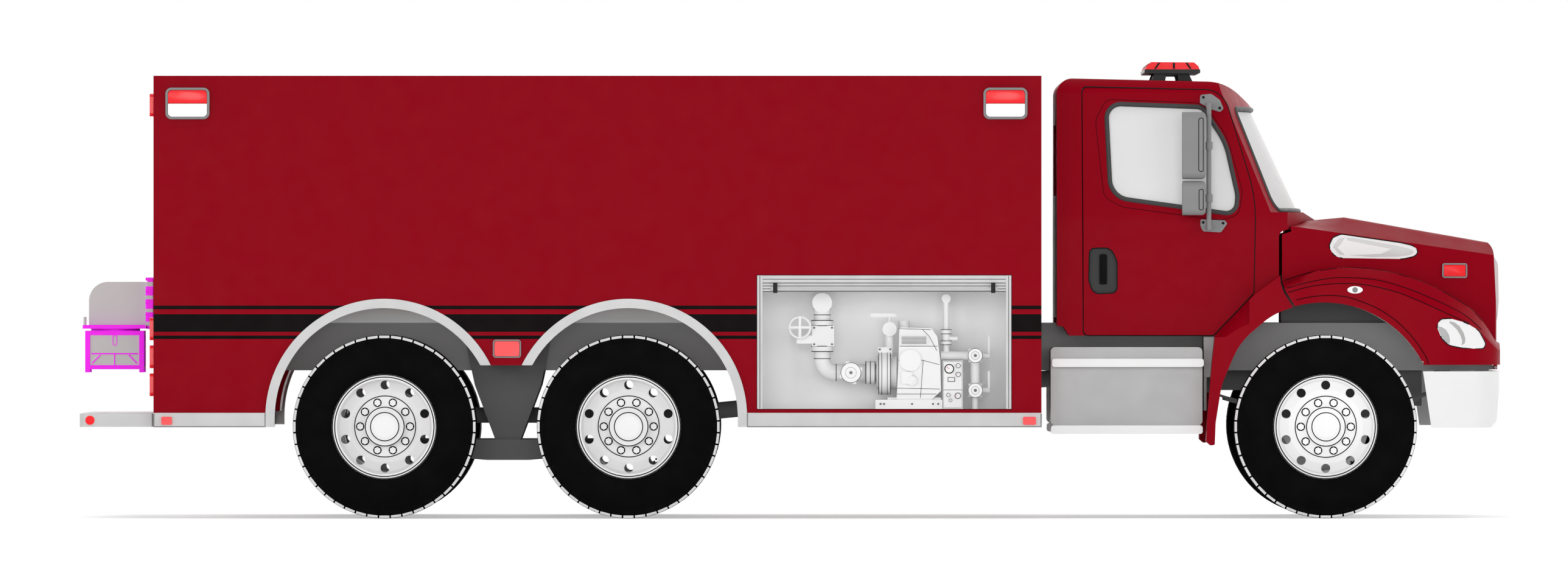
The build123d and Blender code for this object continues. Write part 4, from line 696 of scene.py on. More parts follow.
def spun(name: str, profile: Sequence[Flat], x: float, y: float, steps: int = 96) -> Piece:
    """Spins a closed profile about a wheel's axle.

    Args:
        name: the piece's name.
        profile: rows of axial offset towards +Y and radius.
        x: the axle's X.
        y: the wheel's middle plane.
        steps: faces round the wheel.

    Returns:
        The new object.
    """
    clear_selection()
    bpy.ops.mesh.primitive_circle_add(vertices=len(profile), fill_type="NOTHING")
    ring = added(name)
    for vertex, (axial, radius) in zip(ring.data.vertices, profile):
        vertex.co = (x, y + axial, WHEEL_RADIUS + radius)
    with editing(ring):
        bpy.ops.mesh.spin(steps=steps, angle=2 * pi, center=(x, y, WHEEL_RADIUS), axis=(0, 1, 0))
        bpy.ops.mesh.select_all(action="SELECT")
        bpy.ops.mesh.remove_doubles(threshold=0.00002)
        face_outwards()
    soften(ring, 0.0)
    return ring


def repeat_round(piece: Piece, count: int, x: float, y: float) -> Piece:
    """Repeats a piece round a wheel's axle as loose copies in one mesh.

    Args:
        piece: the piece at its first place.
        count: how many there are in all.
        x: the axle's X.
        y: the wheel's middle plane.

    Returns:
        The same piece.
    """
    turn = 2 * pi / count * (count - 1)
    with editing(piece):
        bpy.ops.mesh.spin(steps=count - 1, dupli=True, angle=turn, center=(x, y, WHEEL_RADIUS), axis=(0, 1, 0))
    return piece


def joined(name: str, pieces: Iterable[Piece]) -> Piece:
    """Joins pieces that share a finish to one object with a name of its own.

    Args:
        name: the joined piece's name.
        pieces: the pieces.

    Returns:
        The joined object.
    """
    clear_selection()
    listed = list(pieces)
    for piece in listed:
        piece.select_set(True)
    bpy.context.view_layer.objects.active = listed[0]
    if len(listed) > 1:
        bpy.ops.object.join()
    return added(name)


class Skin:
    """The outer surface of CAD nodes, as seen from the vehicle's side."""

    def __init__(self, nodes: Iterable[Piece]):
        """Reads the meshes of the nodes that make up the surface.

        Args:
            nodes: the nodes.
        """
        points, faces = [], []
        for node in nodes:
            start = len(points)
            points += [vertex.co.copy() for vertex in node.data.vertices]
            faces += [[start + i for i in face.vertices] for face in node.data.polygons]
        self.tree = BVHTree.FromPolygons(points, faces)

    def depth(self, x: float, z: float, sign: int, missed: float = 0.3) -> float:
        """How far the surface is from the centre plane.

        Args:
            x: where along the vehicle.
            z: how high.
            sign: the side's sign.
            missed: the value given where nothing is met.

        Returns:
            The distance in metres.
        """
        hit = self.tree.ray_cast(Vector((x, sign * 2.0, z)), Vector((0, -sign, 0)))[0]
        return abs(hit.y) if hit else missed

    def draped(self, outline: Iterable[Flat], sign: int, proud: float) -> list[Point]:
        """Lays an outline of X and Z on the surface.

        Args:
            outline: the outline.
            sign: the side's sign.
            proud: how far outside the surface it lies.

        Returns:
            The points in space.
        """
        return [(x, sign * (self.depth(x, z, sign) + proud), z) for x, z in outline]


@dataclass(frozen=True)
class Cushion:
    """A stuffed block: a smaller one is blown up as cloth, so that it crowns and its corners pull in."""

    part: str
    x: float
    z: float
    size: Point  # the most that it measures along X, Y and Z
    lean: float  # backwards about Y, in degrees
    rise: float  # how far the cloth may move
    corner: float = 0.022
    voxel: float = 0.010
    frames: int = 20
    pressure: float = 4.0

    def place(self, y: float) -> Matrix:
        """Where the block goes, with its middle at a Y."""
        return Matrix.Translation((self.x, y, self.z)) @ Matrix.Rotation(radians(self.lean), 4, "Y")

    def pad(self, name: str, y: float) -> Piece:
        """Models the pad under a name, with its middle at a Y.

        Args:
            name: the piece's name.
            y: the pad's middle.

        Returns:
            The new object.
        """
        clear_selection()
        bpy.ops.mesh.primitive_cube_add(size=1.0)
        pad = added(name)
        pad.data.transform(Matrix.Diagonal((*(side - 2 * self.rise for side in self.size), 1.0)))
        soften(pad, self.corner, 4)
        apply_modifier(pad, "REMESH", mode="VOXEL", voxel_size=self.voxel)
        self.blow_up(pad)
        apply_modifier(pad, "SUBSURF", levels=1, render_levels=1)
        bpy.ops.object.shade_smooth()
        # The cloth draws its sides in as it swells, so the pad is let out again to its full size
        places = [[vertex.co[axis] for vertex in pad.data.vertices] for axis in range(3)]
        scales = [side / (max(along) - min(along)) for side, along in zip(self.size, places)]
        pad.data.transform(Matrix.Diagonal((*scales, 1.0)))
        pad.data.transform(self.place(y))
        return pad

    def blow_up(self, pad: Piece) -> None:
        """Swells a pad as pressurised cloth and keeps the shape that it reaches.

        Args:
            pad: the pad.
        """
        scene = bpy.context.scene
        before = [vertex.co.copy() for vertex in pad.data.vertices]
        cloth = pad.modifiers.new("Cloth", "CLOTH")
        cloth.settings.use_pressure = True
        cloth.settings.uniform_pressure_force = self.pressure
        cloth.settings.effector_weights.gravity = 0.0
        cloth.point_cache.frame_start, cloth.point_cache.frame_end = 1, self.frames
        for frame in range(1, self.frames + 1):
            scene.frame_set(frame)
        swollen = pad.evaluated_get(bpy.context.evaluated_depsgraph_get()).data
        moves = [vertex.co - start for vertex, start in zip(swollen.vertices, before)]
        pad.modifiers.remove(cloth)
        for vertex, start, move in zip(pad.data.vertices, before, moves):
            vertex.co = start + move * min(1.0, self.rise / max(move.length, 1e-6))
        scene.frame_set(1)

    def piping(self, name: str, pad: Piece, y: float, level: float = 0.45) -> Piece:
        """Runs a sewn cord round a pad, on its surface.

        Args:
            name: the piece's name.
            pad: the finished pad.
            y: the pad's middle.
            level: where the cord lies across the thinnest side, from -1 to 1.

        Returns:
            The new object.
        """
        size, place = self.size, self.place(y)
        thin = min(range(3), key=lambda axis: size[axis])
        wide, tall = (axis for axis in range(3) if axis != thin)
        high = (size[wide] / 2, size[tall] / 2)
        outline = rectangle((-high[0], -high[1]), high, 0.05, 8)
        tree = BVHTree.FromPolygons([v.co for v in pad.data.vertices], [list(f.vertices) for f in pad.data.polygons])
        points = []
        for u, v in subdivided(outline, 8):
            local = Vector((0.0, 0.0, 0.0))
            local[wide], local[tall], local[thin] = u, v, level * size[thin] / 2
            near, normal = tree.find_nearest(place @ local)[:2]
            points.append(tuple(near + normal * 0.001))
        return seal(name, points, 0.0030)


def dress(piece: Piece, finish: Finish, slot: str, body: str = "chassis") -> Piece:
    """Gives a new piece its finish and its body.

    Args:
        piece: the piece.
        finish: its surface.
        slot: not used.
        body: the CAD body that it rides on.

    Returns:
        The same piece.
    """
    piece.data.materials.clear()
    piece.data.materials.append(finish.material())
    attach(piece, body)
    log.info("%s rides on %s in %s", piece.name, body, finish.name)
    return piece


def dress_pair(piece: Piece, finish: Finish, slot: str, body: str = "chassis") -> None:
    """Dresses a right-hand piece and a mirrored copy of it on the left, its faces turned back outwards.

    Args:
        piece: the piece, with right in its name.
        finish: its surface.
        slot: the record's material slot.
        body: the CAD body that both ride on.
    """
    copy = piece.copy()
    copy.data = piece.data.copy()
    copy.name = copy.data.name = piece.name.replace("right", "left")
    copy.data.transform(Matrix.Scale(-1, 4, (0, 1, 0)))
    copy.data.flip_normals()
    bpy.context.scene.collection.objects.link(copy)
    for each in (copy, piece):
        dress(each, finish, slot, body)


def dress_black(name: str, parts: Iterable[Piece], body: str = "chassis") -> None:
    """Joins black mouldings, gaskets or joint lines to one piece and dresses it."""
    dress(joined(name, parts), BLACK_PLASTIC, "interior", body)


def refinish(nodes: Nodes, finish: Finish, *names: str) -> None:
    """Puts a finish on CAD nodes that keep their shape.

    Args:
        nodes: the frame's nodes.
        finish: the finish.
        names: the nodes' names.
    """
    for name in names:
        node = nodes[name]
        if not node.material_slots:
            node.data.materials.append(finish.material())
        for socket in node.material_slots:
            socket.material = finish.material()
        log.info("%s finished in %s", name, finish.name)


# ---------------------------------------------------------------- sub-assemblies


@dataclass(frozen=True)
class Station:
    """A wheel's place and what is turned into its disc, the same on both sides."""

    place: str
    x: float
    tyres: tuple[float, ...]  # the tyres' middle planes, the outer one first
    face: float  # the disc's face under the nuts
    grooves: tuple[Flat, ...]  # distance from the centre plane and radius of each step


RIM_LIP = 0.1192  # from a tyre's middle plane
FRONT_DISC = (
    (FRONT_TYRE_Y + RIM_LIP, 0.297),
    (FRONT_TYRE_Y + RIM_LIP, 0.284),
    (FRONT_TYRE_Y + 0.1602, 0.175),
    (FRONT_TYRE_Y + 0.1842, 0.111),
    (FRONT_TYRE_Y + 0.2062, 0.081),
)
DUAL_DISC = (
    (DUAL_TYRE_Y[0] + RIM_LIP, 0.297),
    (DUAL_TYRE_Y[0] + RIM_LIP, 0.284),
    (0.9335, 0.175),
    (1.0615, 0.111),
    (1.0912, 0.081),
)


@dataclass
class Wheels:
    """Treaded tyres in place of the plain CAD ones, a pale painted highlight on each outer shoulder, and black rings
    of painted shade at the steps turned into the wheel discs.
    """

    stations: tuple[Station, ...] = (
        Station("front", FRONT_AXLE_X, (FRONT_TYRE_Y,), 1.188, FRONT_DISC),
        Station("middle", TANDEM_X[0], DUAL_TYRE_Y, 0.933, DUAL_DISC),
        Station("rear", TANDEM_X[1], DUAL_TYRE_Y, 0.933, DUAL_DISC),
    )
    # Half a carcass, the shoulder's painted highlight and a lug: offset from the tyre's middle plane and radius
    half_carcass: tuple[Flat, ...] = (
        (0.104, 0.2872), (0.116, 0.300), (0.128, 0.325), (0.138, 0.360), (0.1405, 0.395), (0.139, 0.430),
        (0.132, 0.462), (0.126, 0.478), (0.124, 0.500), (0.110, 0.508), (0.062, 0.508), (0.060, 0.5235),
        (0.024, 0.525), (0.020, 0.508), (0.012, 0.508), (0.010, 0.525),
    )
    pale_edge: tuple[Flat, ...] = ((0.1135, 0.5205), (0.1275, 0.5075), (0.1290, 0.5085), (0.1150, 0.5215))
    lug: tuple[Flat, ...] = ((0.066, 0.524), (0.108, 0.5235), (0.129, 0.505), (0.127, 0.480), (0.066, 0.500))
    lugs: int = 48
    lug_arc: float = 0.058
    groove: Flat = (0.0014, 0.0028)  # half its depth and half its width
    nuts: int = 10
    nut_circle: float = 0.1429
    washer_radius: float = 0.0245
    valve_circle: float = 0.249
    valve_angle: float = radians(-54)

    def tread(self, name: str, section: Sequence[Flat], x: float, y: float, out: int, edge: float) -> Piece:
        """Models one lug, or the pale painted highlight on its shoulder, and repeats it round the tyre.

        Args:
            name: the piece's name.
            section: its section.
            x: the axle's X.
            y: the tyre's middle plane.
            out: +1 for the +Y shoulder, -1 for the other.
            edge: the width of the softened edge.

        Returns:
            The ring of copies.
        """
        points = [(x - self.lug_arc / 2, y + out * across, WHEEL_RADIUS + r) for across, r in section]
        return repeat_round(slab(name, points, (self.lug_arc, 0, 0), edge), self.lugs, x, y)

    def tyres(self, station: Station, side: Side, body: str) -> None:
        """Builds the tyres of one wheel body in place of their CAD node, and the pale painted highlight on the outer
        one's shoulder.

        Args:
            station: the wheel's place.
            side: its side.
            body: its body.
        """
        node, x, parts = f"tyre_{station.place}_{side.word}", station.x, []
        for y in (side.value * middle for middle in station.tyres):
            profile = [*self.half_carcass, *((-across, r) for across, r in reversed(self.half_carcass))]
            parts.append(spun("carcass", profile, x, y))
            parts += [self.tread("lugs", self.lug, x, y, out, 0.002) for out in (1, -1)]
        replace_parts(dress(joined(f"{node}_treaded", parts), TYRE_RUBBER, "tyre", body), node)
        outer = side.value * station.tyres[0]
        # The outer tyre's shoulder gets a pale band of painted highlight
        band = self.tread(f"{node}_shoulder", self.pale_edge, x, outer, side.value, 0.0)
        dress(band, SHOULDER_HIGHLIGHT, "tyre", body)

    def disc(self, station: Station, side: Side, body: str) -> None:
        """Lays black rings of painted shade at the disc's steps, the washers under the nuts and the valve stem on
        one wheel's disc.

        Args:
            station: the wheel's place.
            side: its side.
            body: its body.
        """
        end, x, sign = f"{station.place}_{side.word}", station.x, side.value
        (deep, wide), rings = self.groove, []
        for y, radius in station.grooves:
            section = [(deep, radius - wide), (deep, radius + wide), (-deep, radius + wide), (-deep, radius - wide)]
            rings.append(spun("ring", section, x, sign * y, 72))
        # Black rings at the disc's steps: painted shade in place of the shadow at each step
        dress_black(f"disc_rings_{end}", rings, body)
        nut_x, face = x + self.nut_circle, sign * station.face
        low, high = (nut_x, face + sign * 0.0002, WHEEL_RADIUS), (nut_x, face + sign * 0.002, WHEEL_RADIUS)
        washer = rod("washer", low, high, self.washer_radius)
        dress_black(f"washers_{end}", [repeat_round(washer, self.nuts, x, face)], body)
        valve_x = x + self.valve_circle * cos(self.valve_angle)
        valve_z = WHEEL_RADIUS + self.valve_circle * sin(self.valve_angle)
        foot, tip = (valve_x, face - sign * 0.05, valve_z), (valve_x, face - sign * 0.002, valve_z)
        dress_black(f"valve_{end}", [rod("valve", foot, tip, 0.006, edge=0.0015)], body)

    def build(self, nodes: Nodes) -> None:
        """Builds every wheel's pieces.

        Args:
            nodes: the frame's nodes.
        """
        for side in Side:
            for station in self.stations:
                body = f"wheel_{station.place}_{side.word}"
                self.tyres(station, side, body)
                self.disc(station, side, body)
        rims = [f"rim_{station.place}_{side.word}" for station in self.stations for side in Side]
        refinish(nodes, WHITE_ENAMEL, *rims)


class Chassis:
    """The frame, axles and tanks under the vehicle, which keep their CAD shapes."""

    def build(self, nodes: Nodes) -> None:
        """Finishes the chassis nodes.

        Args:
            nodes: the frame's nodes.
        """
        # The frame and splash panels take a grey painted lighter to offset the shade under the body
        refinish(nodes, LIGHTENED_FRAME_COATING, "chassis_frame", "splash_panels")
        iron = ("front_axle", "suspension", "knuckle_right", "knuckle_left", "rear_axles", "powertrain")
        refinish(nodes, FORGED_STEEL, *iron)
        refinish(nodes, FUEL_ALUMINIUM, "fuel_tanks")
        refinish(nodes, LIGHT_ABS, "cab_steps", "bumper")
        refinish(nodes, BRUSHED_TRIM, "rub_rails", "arch_trims")
        refinish(nodes, TAILBOARD_ALUMINIUM, "tailboard")


@dataclass
class TankBody:
    """The painted box body with its lamps, trims and dump valve."""

    corner_x: Flat = (-3.443, 1.233)
    corner_z: float = 2.3735
    corner_half: Flat = (0.126, 0.0905)
    lens_inset: float = 0.0145
    middle_lamp: tuple[Flat, Flat] = ((-1.698, 0.919), (-1.536, 1.024))
    rails: tuple[Flat, ...] = ((-3.636, -2.999), (-0.243, 1.437))
    rail_z: Flat = (0.526, 0.600)
    chute_side: float = -0.1642
    straps: tuple[tuple[Flat, ...], ...] = (
        ((-4.028, 0.9365), (-3.758, 0.9365), (-3.758, 0.9435), (-4.028, 0.9435)),
        ((-3.896, 0.8745), (-3.890, 0.8745), (-3.890, 0.9360), (-3.896, 0.9360)),
        ((-4.026, 0.886), (-4.020, 0.882), (-3.972, 0.9300), (-3.976, 0.9355)),
        ((-3.760, 0.886), (-3.766, 0.882), (-3.814, 0.9300), (-3.810, 0.9355)),
    )
    stop: tuple[Corner, ...] = (
        (-3.905, 0.986, 0.0125), (-3.879, 0.986, 0.0125), (-3.879, 1.044, 0.0), (-3.905, 1.044, 0.0),
    )

    def corner_lamp(self, place: str, x: float) -> None:
        """Builds a split corner lamp on both sides, in place of its plain block.

        Args:
            place: which corner, for the pieces' names.
            x: the lamp's middle.
        """
        (half_x, half_z), z, inset = self.corner_half, self.corner_z, self.lens_inset
        low, high = (x - half_x, z - half_z), (x + half_x, z + half_z)
        rear, front, top = low[0] + inset, high[0] - inset, high[1] - inset
        upper = [(rear, z + 0.001, 0.002), (front, z + 0.001, 0.002), (front, top, 0.022), (rear, top, 0.022)]
        lower = [(px, 2 * z - pz, r) for px, pz, r in reversed(upper)]
        for part, outline, depth, edge, ring, finish, slot in (
            ("bezel", rectangle(low, high, 0.034), 0.0277, 0.004, 0.014, MIRROR_ABS, "mirror_grey"),
            ("red", rounded_outline(upper), 0.024, 0.006, 0.0, RED_ACRYLIC, "red_lens"),
            ("clear", rounded_outline(lower), 0.024, 0.006, 0.0, CLEAR_ACRYLIC, "light_grey"),
        ):
            points = on_side(outline, -BODY_SIDE - STAND_OFF)
            piece = slab(f"corner_lamp_{place}_{part}_right", points, (0, -depth, 0), edge, ring)
            dress_pair(piece, finish, slot)
            if part == "bezel":
                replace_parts(piece, "corner_lamps")

    def middle_lamp_bezels(self) -> None:
        """Frames the marker lamp between the arches, on both sides."""
        points = on_side(rectangle(*self.middle_lamp, 0.018), -BODY_SIDE - STAND_OFF)
        dress_pair(slab("middle_lamp_bezel_right", points, (0, -0.012, 0), 0.003, 0.0095), MIRROR_ABS, "mirror_grey")

    def rail_edging(self) -> None:
        """Runs the dark edging strip round the foot and ends of the rub rails."""
        (low, high), parts = self.rail_z, []
        for x_from, x_to in self.rails:
            path = on_side([(x_from, high), (x_from, low), (x_to, low), (x_to, high)], -RAIL_FACE)
            parts.append(seal("rail_edge", path, 0.0042, closed=False))
        dress_pair(joined("rail_edging_right", parts), MIRROR_ABS, "mirror_grey")

    def chute_straps(self) -> None:
        """Lays the stiffening straps and the slotted stop on the chute's two sides."""
        depth = (0, -0.003, 0)
        parts = [slab("chute_strap", on_side(strap, self.chute_side), depth) for strap in self.straps]
        parts.append(slab("chute_stop", on_side(rounded_outline(self.stop), self.chute_side), depth, ring=0.004))
        dress_pair(joined("chute_straps_right", parts), MAGENTA_ENAMEL, "bright_trim", "dump_chute")

    def build(self, nodes: Nodes) -> None:
        """Builds the body's pieces and finishes its nodes.

        Args:
            nodes: the frame's nodes.
        """
        refinish(nodes, STRIPED_ENAMEL, "side_bodies", "bulkheads")
        refinish(nodes, WHITE_ENAMEL, "tank", "fill_lid")
        refinish(nodes, RED_ACRYLIC, "marker_lamps")
        refinish(nodes, ELBOW_ENAMEL, "dump_elbow")
        refinish(nodes, CHUTE_ENAMEL, "dump_chute")
        for place, x in zip(("rear", "front"), self.corner_x):
            self.corner_lamp(place, x)
        self.middle_lamp_bezels()
        self.chute_straps()
        self.rail_edging()


@dataclass
class PumpBay:
    """The pump set in the open compartment, with its joints, bolts, dials and caps."""

    middle_y: float = -0.900
    outlet_y: float = -0.960
    panel_y: float = -1.082
    panel_face: float = -1.0702
    cap_y: float = -1.104
    edge_y: float = -1.2452
    riser_x: float = 0.186
    run_z: float = 0.834
    tower_x: float = 0.896
    volute_z: float = 0.836
    riser_joints: tuple[Flat, ...] = (
        (0.914, 0.0492), (0.955, 0.0632), (0.9845, 0.0632), (1.1035, 0.0632), (1.1325, 0.0632), (1.165, 0.0492),
        (1.200, 0.0492),
    )
    run_joints: tuple[Flat, ...] = ((0.266, 0.0492), (0.4365, 0.0652), (0.462, 0.0652), (0.489, 0.0652))
    tower_joints: tuple[Flat, ...] = ((0.9945, 0.0312), (1.0155, 0.0312), (1.0565, 0.0312), (1.0795, 0.0312))
    volute_joints: tuple[Flat, ...] = ((0.510, 0.1282), (0.5275, 0.1282), (0.5585, 0.1282), (0.576, 0.1282))
    round_caps: tuple[Corner, ...] = ((0.350, 0.834, 0.057), (1.062, 0.932, 0.041), (1.062, 0.733, 0.041))
    gauges: tuple[Corner, ...] = (
        (0.913, 0.856, 0.028), (0.964, 0.874, 0.014), (0.964, 0.824, 0.015), (0.962, 0.702, 0.018),
        (0.908, 0.706, 0.012), (0.920, 0.676, 0.010),
    )
    panel: tuple[Flat, Flat] = ((0.880, 0.632), (0.987, 0.899))
    panel_split: tuple[Flat, Flat] = ((0.880, 0.735), (0.987, 0.735))
    switches: tuple[Flat, Flat] = ((0.904, 0.782), (0.946, 0.808))
    seams: tuple[tuple[Flat, ...], ...] = (
        ((0.628, 1.086), (0.806, 1.080)),
        ((0.630, 0.985), (0.846, 0.985)),
        ((0.624, 0.905), (0.760, 0.905), (0.856, 0.880)),
        ((0.764, 0.905), (0.748, 0.690)),
        ((0.616, 0.745), (0.858, 0.740)),
        ((0.614, 0.712), (0.840, 0.712)),
        ((0.760, 1.082), (0.800, 1.040), (0.842, 0.960)),
    )
    slat_lines: tuple[Flat, ...] = (
        (-1.2412, 1.369), (-1.2412, 1.3475), (-1.2372, 1.330), (-1.2372, 1.3135), (-1.2372, 1.2995),
    )
    bay: tuple[Flat, Flat] = ((-0.188, 0.626), (1.268, 1.392))

    def joints(self) -> None:
        """Puts a dark gasket at each pipe joint."""
        y, out, thick, thin = self.middle_y, self.outlet_y, 0.002, 0.0015
        x, tower_x, z, volute_z = self.riser_x, self.tower_x, self.run_z, self.volute_z
        places = [((x, y, at - thick), (x, y, at + thick), r) for at, r in self.riser_joints]
        places += [((at - thick, y, z), (at + thick, y, z), r) for at, r in self.run_joints]
        places += [((tower_x, out, at - thin), (tower_x, out, at + thin), r) for at, r in self.tower_joints]
        places += [((at - thin, y, volute_z), (at + thin, y, volute_z), r) for at, r in self.volute_joints]
        dress_black("pipe_gaskets", [rod("gasket", start, end, r, 40) for start, end, r in places])

    def caps(self) -> None:
        """Finishes the suction cap and the two outlet caps with a rim, an inner line and a boss."""
        rims, bosses, y = [], [], self.cap_y
        for x, z, radius in self.round_caps:
            circle = ellipse(x, z, radius, radius, 48)
            inner = [(x + 0.55 * (px - x), z + 0.55 * (pz - z)) for px, pz in circle]
            rims.append(seal("cap_rim", on_side(circle, y + 0.001), 0.0016))
            bosses.append(rod("cap_boss", (x, y + 0.001, z), (x, y - 0.004, z), 0.009, edge=0.0015))
            rims.append(seal("cap_line", on_side(inner, y + 0.0006), 0.0010))
        dress_black("cap_rims", rims)
        dress(joined("cap_bosses", bosses), FORGED_STEEL, "axle_iron")

    def dials(self) -> None:
        """Gives each gauge its black bezel, white dial and red needle, and the panel its switch plate and lines."""
        bezels, faces, needles, y = [], [], [], self.panel_y - 0.0002
        for x, z, r in self.gauges:
            bezels.append(slab("dial_bezel", on_side(ellipse(x, z, r, r), y), (0, -0.006, 0), 0.0008, r * 0.2))
            faces.append(rod("dial_face", (x, y, z), (x, y - 0.002, z), r * 0.82, 32))
            hand = on_side([(x, z), (x - r * 0.5, z + r * 0.35)], y - 0.003)
            needles.append(seal("needle", hand, r * 0.05, closed=False))
        plate = on_side(rectangle(*self.switches, 0.003), -1.0763)
        bezels.append(slab("switch_frame", plate, (0, -0.002, 0), ring=0.003))
        bezels.append(seal("panel_line", on_side(rectangle(*self.panel), self.panel_face), 0.0012))
        bezels.append(seal("panel_split", on_side(self.panel_split, self.panel_face), 0.0012, closed=False))
        dress_black("dial_bezels", bezels)
        dress(joined("dial_faces", faces), WHITE_ENAMEL, "white_plastic")
        dress(joined("dial_needles", needles), RED_ACRYLIC, "red_lens")

    def engine(self) -> None:
        """Lays the casting seams and cooling fins on the engine's near side and fits its oil filter."""
        y = self.middle_y - 0.1462
        dress_black("engine_seams", [seal("seam", on_side(seam, y), 0.0014, closed=False) for seam in self.seams])
        fins = []
        for z in (0.998 + i * 0.0075 for i in range(6)):
            outline = rectangle((0.640, z), (0.782, z + 0.003))
            fins.append(slab("fin", on_side(outline, self.middle_y - 0.1702), (0, -0.004, 0)))
        dress(joined("engine_fins", fins), FORGED_STEEL, "axle_iron")
        can = rod("oil_filter", (0.700, y, 0.792), (0.700, y - 0.030, 0.786), 0.030, 32, 0.004)
        dress(can, CAST_ENAMEL, "white_metal")

    def bolts(self) -> None:
        """Sets hexagon bolts on the valve, the volute's flange and the skid."""
        places = [(x, -0.9562, z) for x in (0.140, 0.242) for z in (0.996, 1.091)]
        places += [(x, -0.9602, z) for x in (0.516, 0.576) for z in (0.932, 0.967)]
        places += [(x, self.panel_face, 0.655) for x in (0.520, 0.540, 0.700, 0.820, 0.850)]
        parts = [rod("bolt", (x, y, z), (x, y - 0.006, z), 0.0065, 6, 0.0006) for x, y, z in places]
        dress(joined("pump_bolts", parts), FORGED_STEEL, "axle_iron")

    def shutter_lines(self) -> None:
        """Marks the joints of the shutter's header, slats and tracks."""
        paths = [[(-0.155, y, z), (1.235, y, z)] for y, z in self.slat_lines]
        paths += [[(x, self.edge_y, 0.630), (x, self.edge_y, 1.388)] for x in (-0.171, 1.251)]
        lines = [seal("line", path, 0.0016, closed=False) for path in paths]
        lines.append(seal("bay_edge", on_side(rectangle(*self.bay), self.edge_y), 0.0022))
        dress_black("shutter_lines", lines)

    def build(self, nodes: Nodes) -> None:
        """Builds the pump set's pieces and finishes its nodes.

        Args:
            nodes: the frame's nodes.
        """
        cast = ("pump_engine", "pump_casing", "suction_piping", "discharge_piping", "control_panel")
        refinish(nodes, CAST_ENAMEL, *cast)
        refinish(nodes, SHUTTER_ALUMINIUM, "shutters")
        for group in (self.joints, self.caps, self.dials, self.engine, self.bolts, self.shutter_lines):
            group()


def cab_side(z: float) -> float:
    """The cab skin's distance from the centre plane at a height.

    Args:
        z: the height.

    Returns:
        The distance in metres.
    """
    if z < CAB_BELT_Z:
        share = (z - CAB_SILL_Z) / (CAB_BELT_Z - CAB_SILL_Z)
        return CAB_SILL_HALF + share * (CAB_BELT_HALF - CAB_SILL_HALF)
    share = (z - CAB_BELT_Z) / (CAB_ROOF_Z - CAB_BELT_Z)
    return CAB_BELT_HALF + share * (CAB_ROOF_HALF - CAB_BELT_HALF)


def screen_point(y: float, z: float, inset: float) -> Point:
    """A point on the bowed windscreen, drawn in by an inset.

    Args:
        y: where across the cab.
        z: how high.
        inset: how far inside the cab's outer form.

    Returns:
        The point in space.
    """
    lean = (SCREEN_HEAD[0] - SCREEN_FOOT[0]) / (SCREEN_HEAD[1] - SCREEN_FOOT[1])
    level = inset * hypot(lean, 1.0)
    bow = sqrt((SCREEN_BOW - level) ** 2 - y * y)
    return SCREEN_FOOT[0] - SCREEN_BOW + bow + (z - SCREEN_FOOT[1]) * lean, y, z


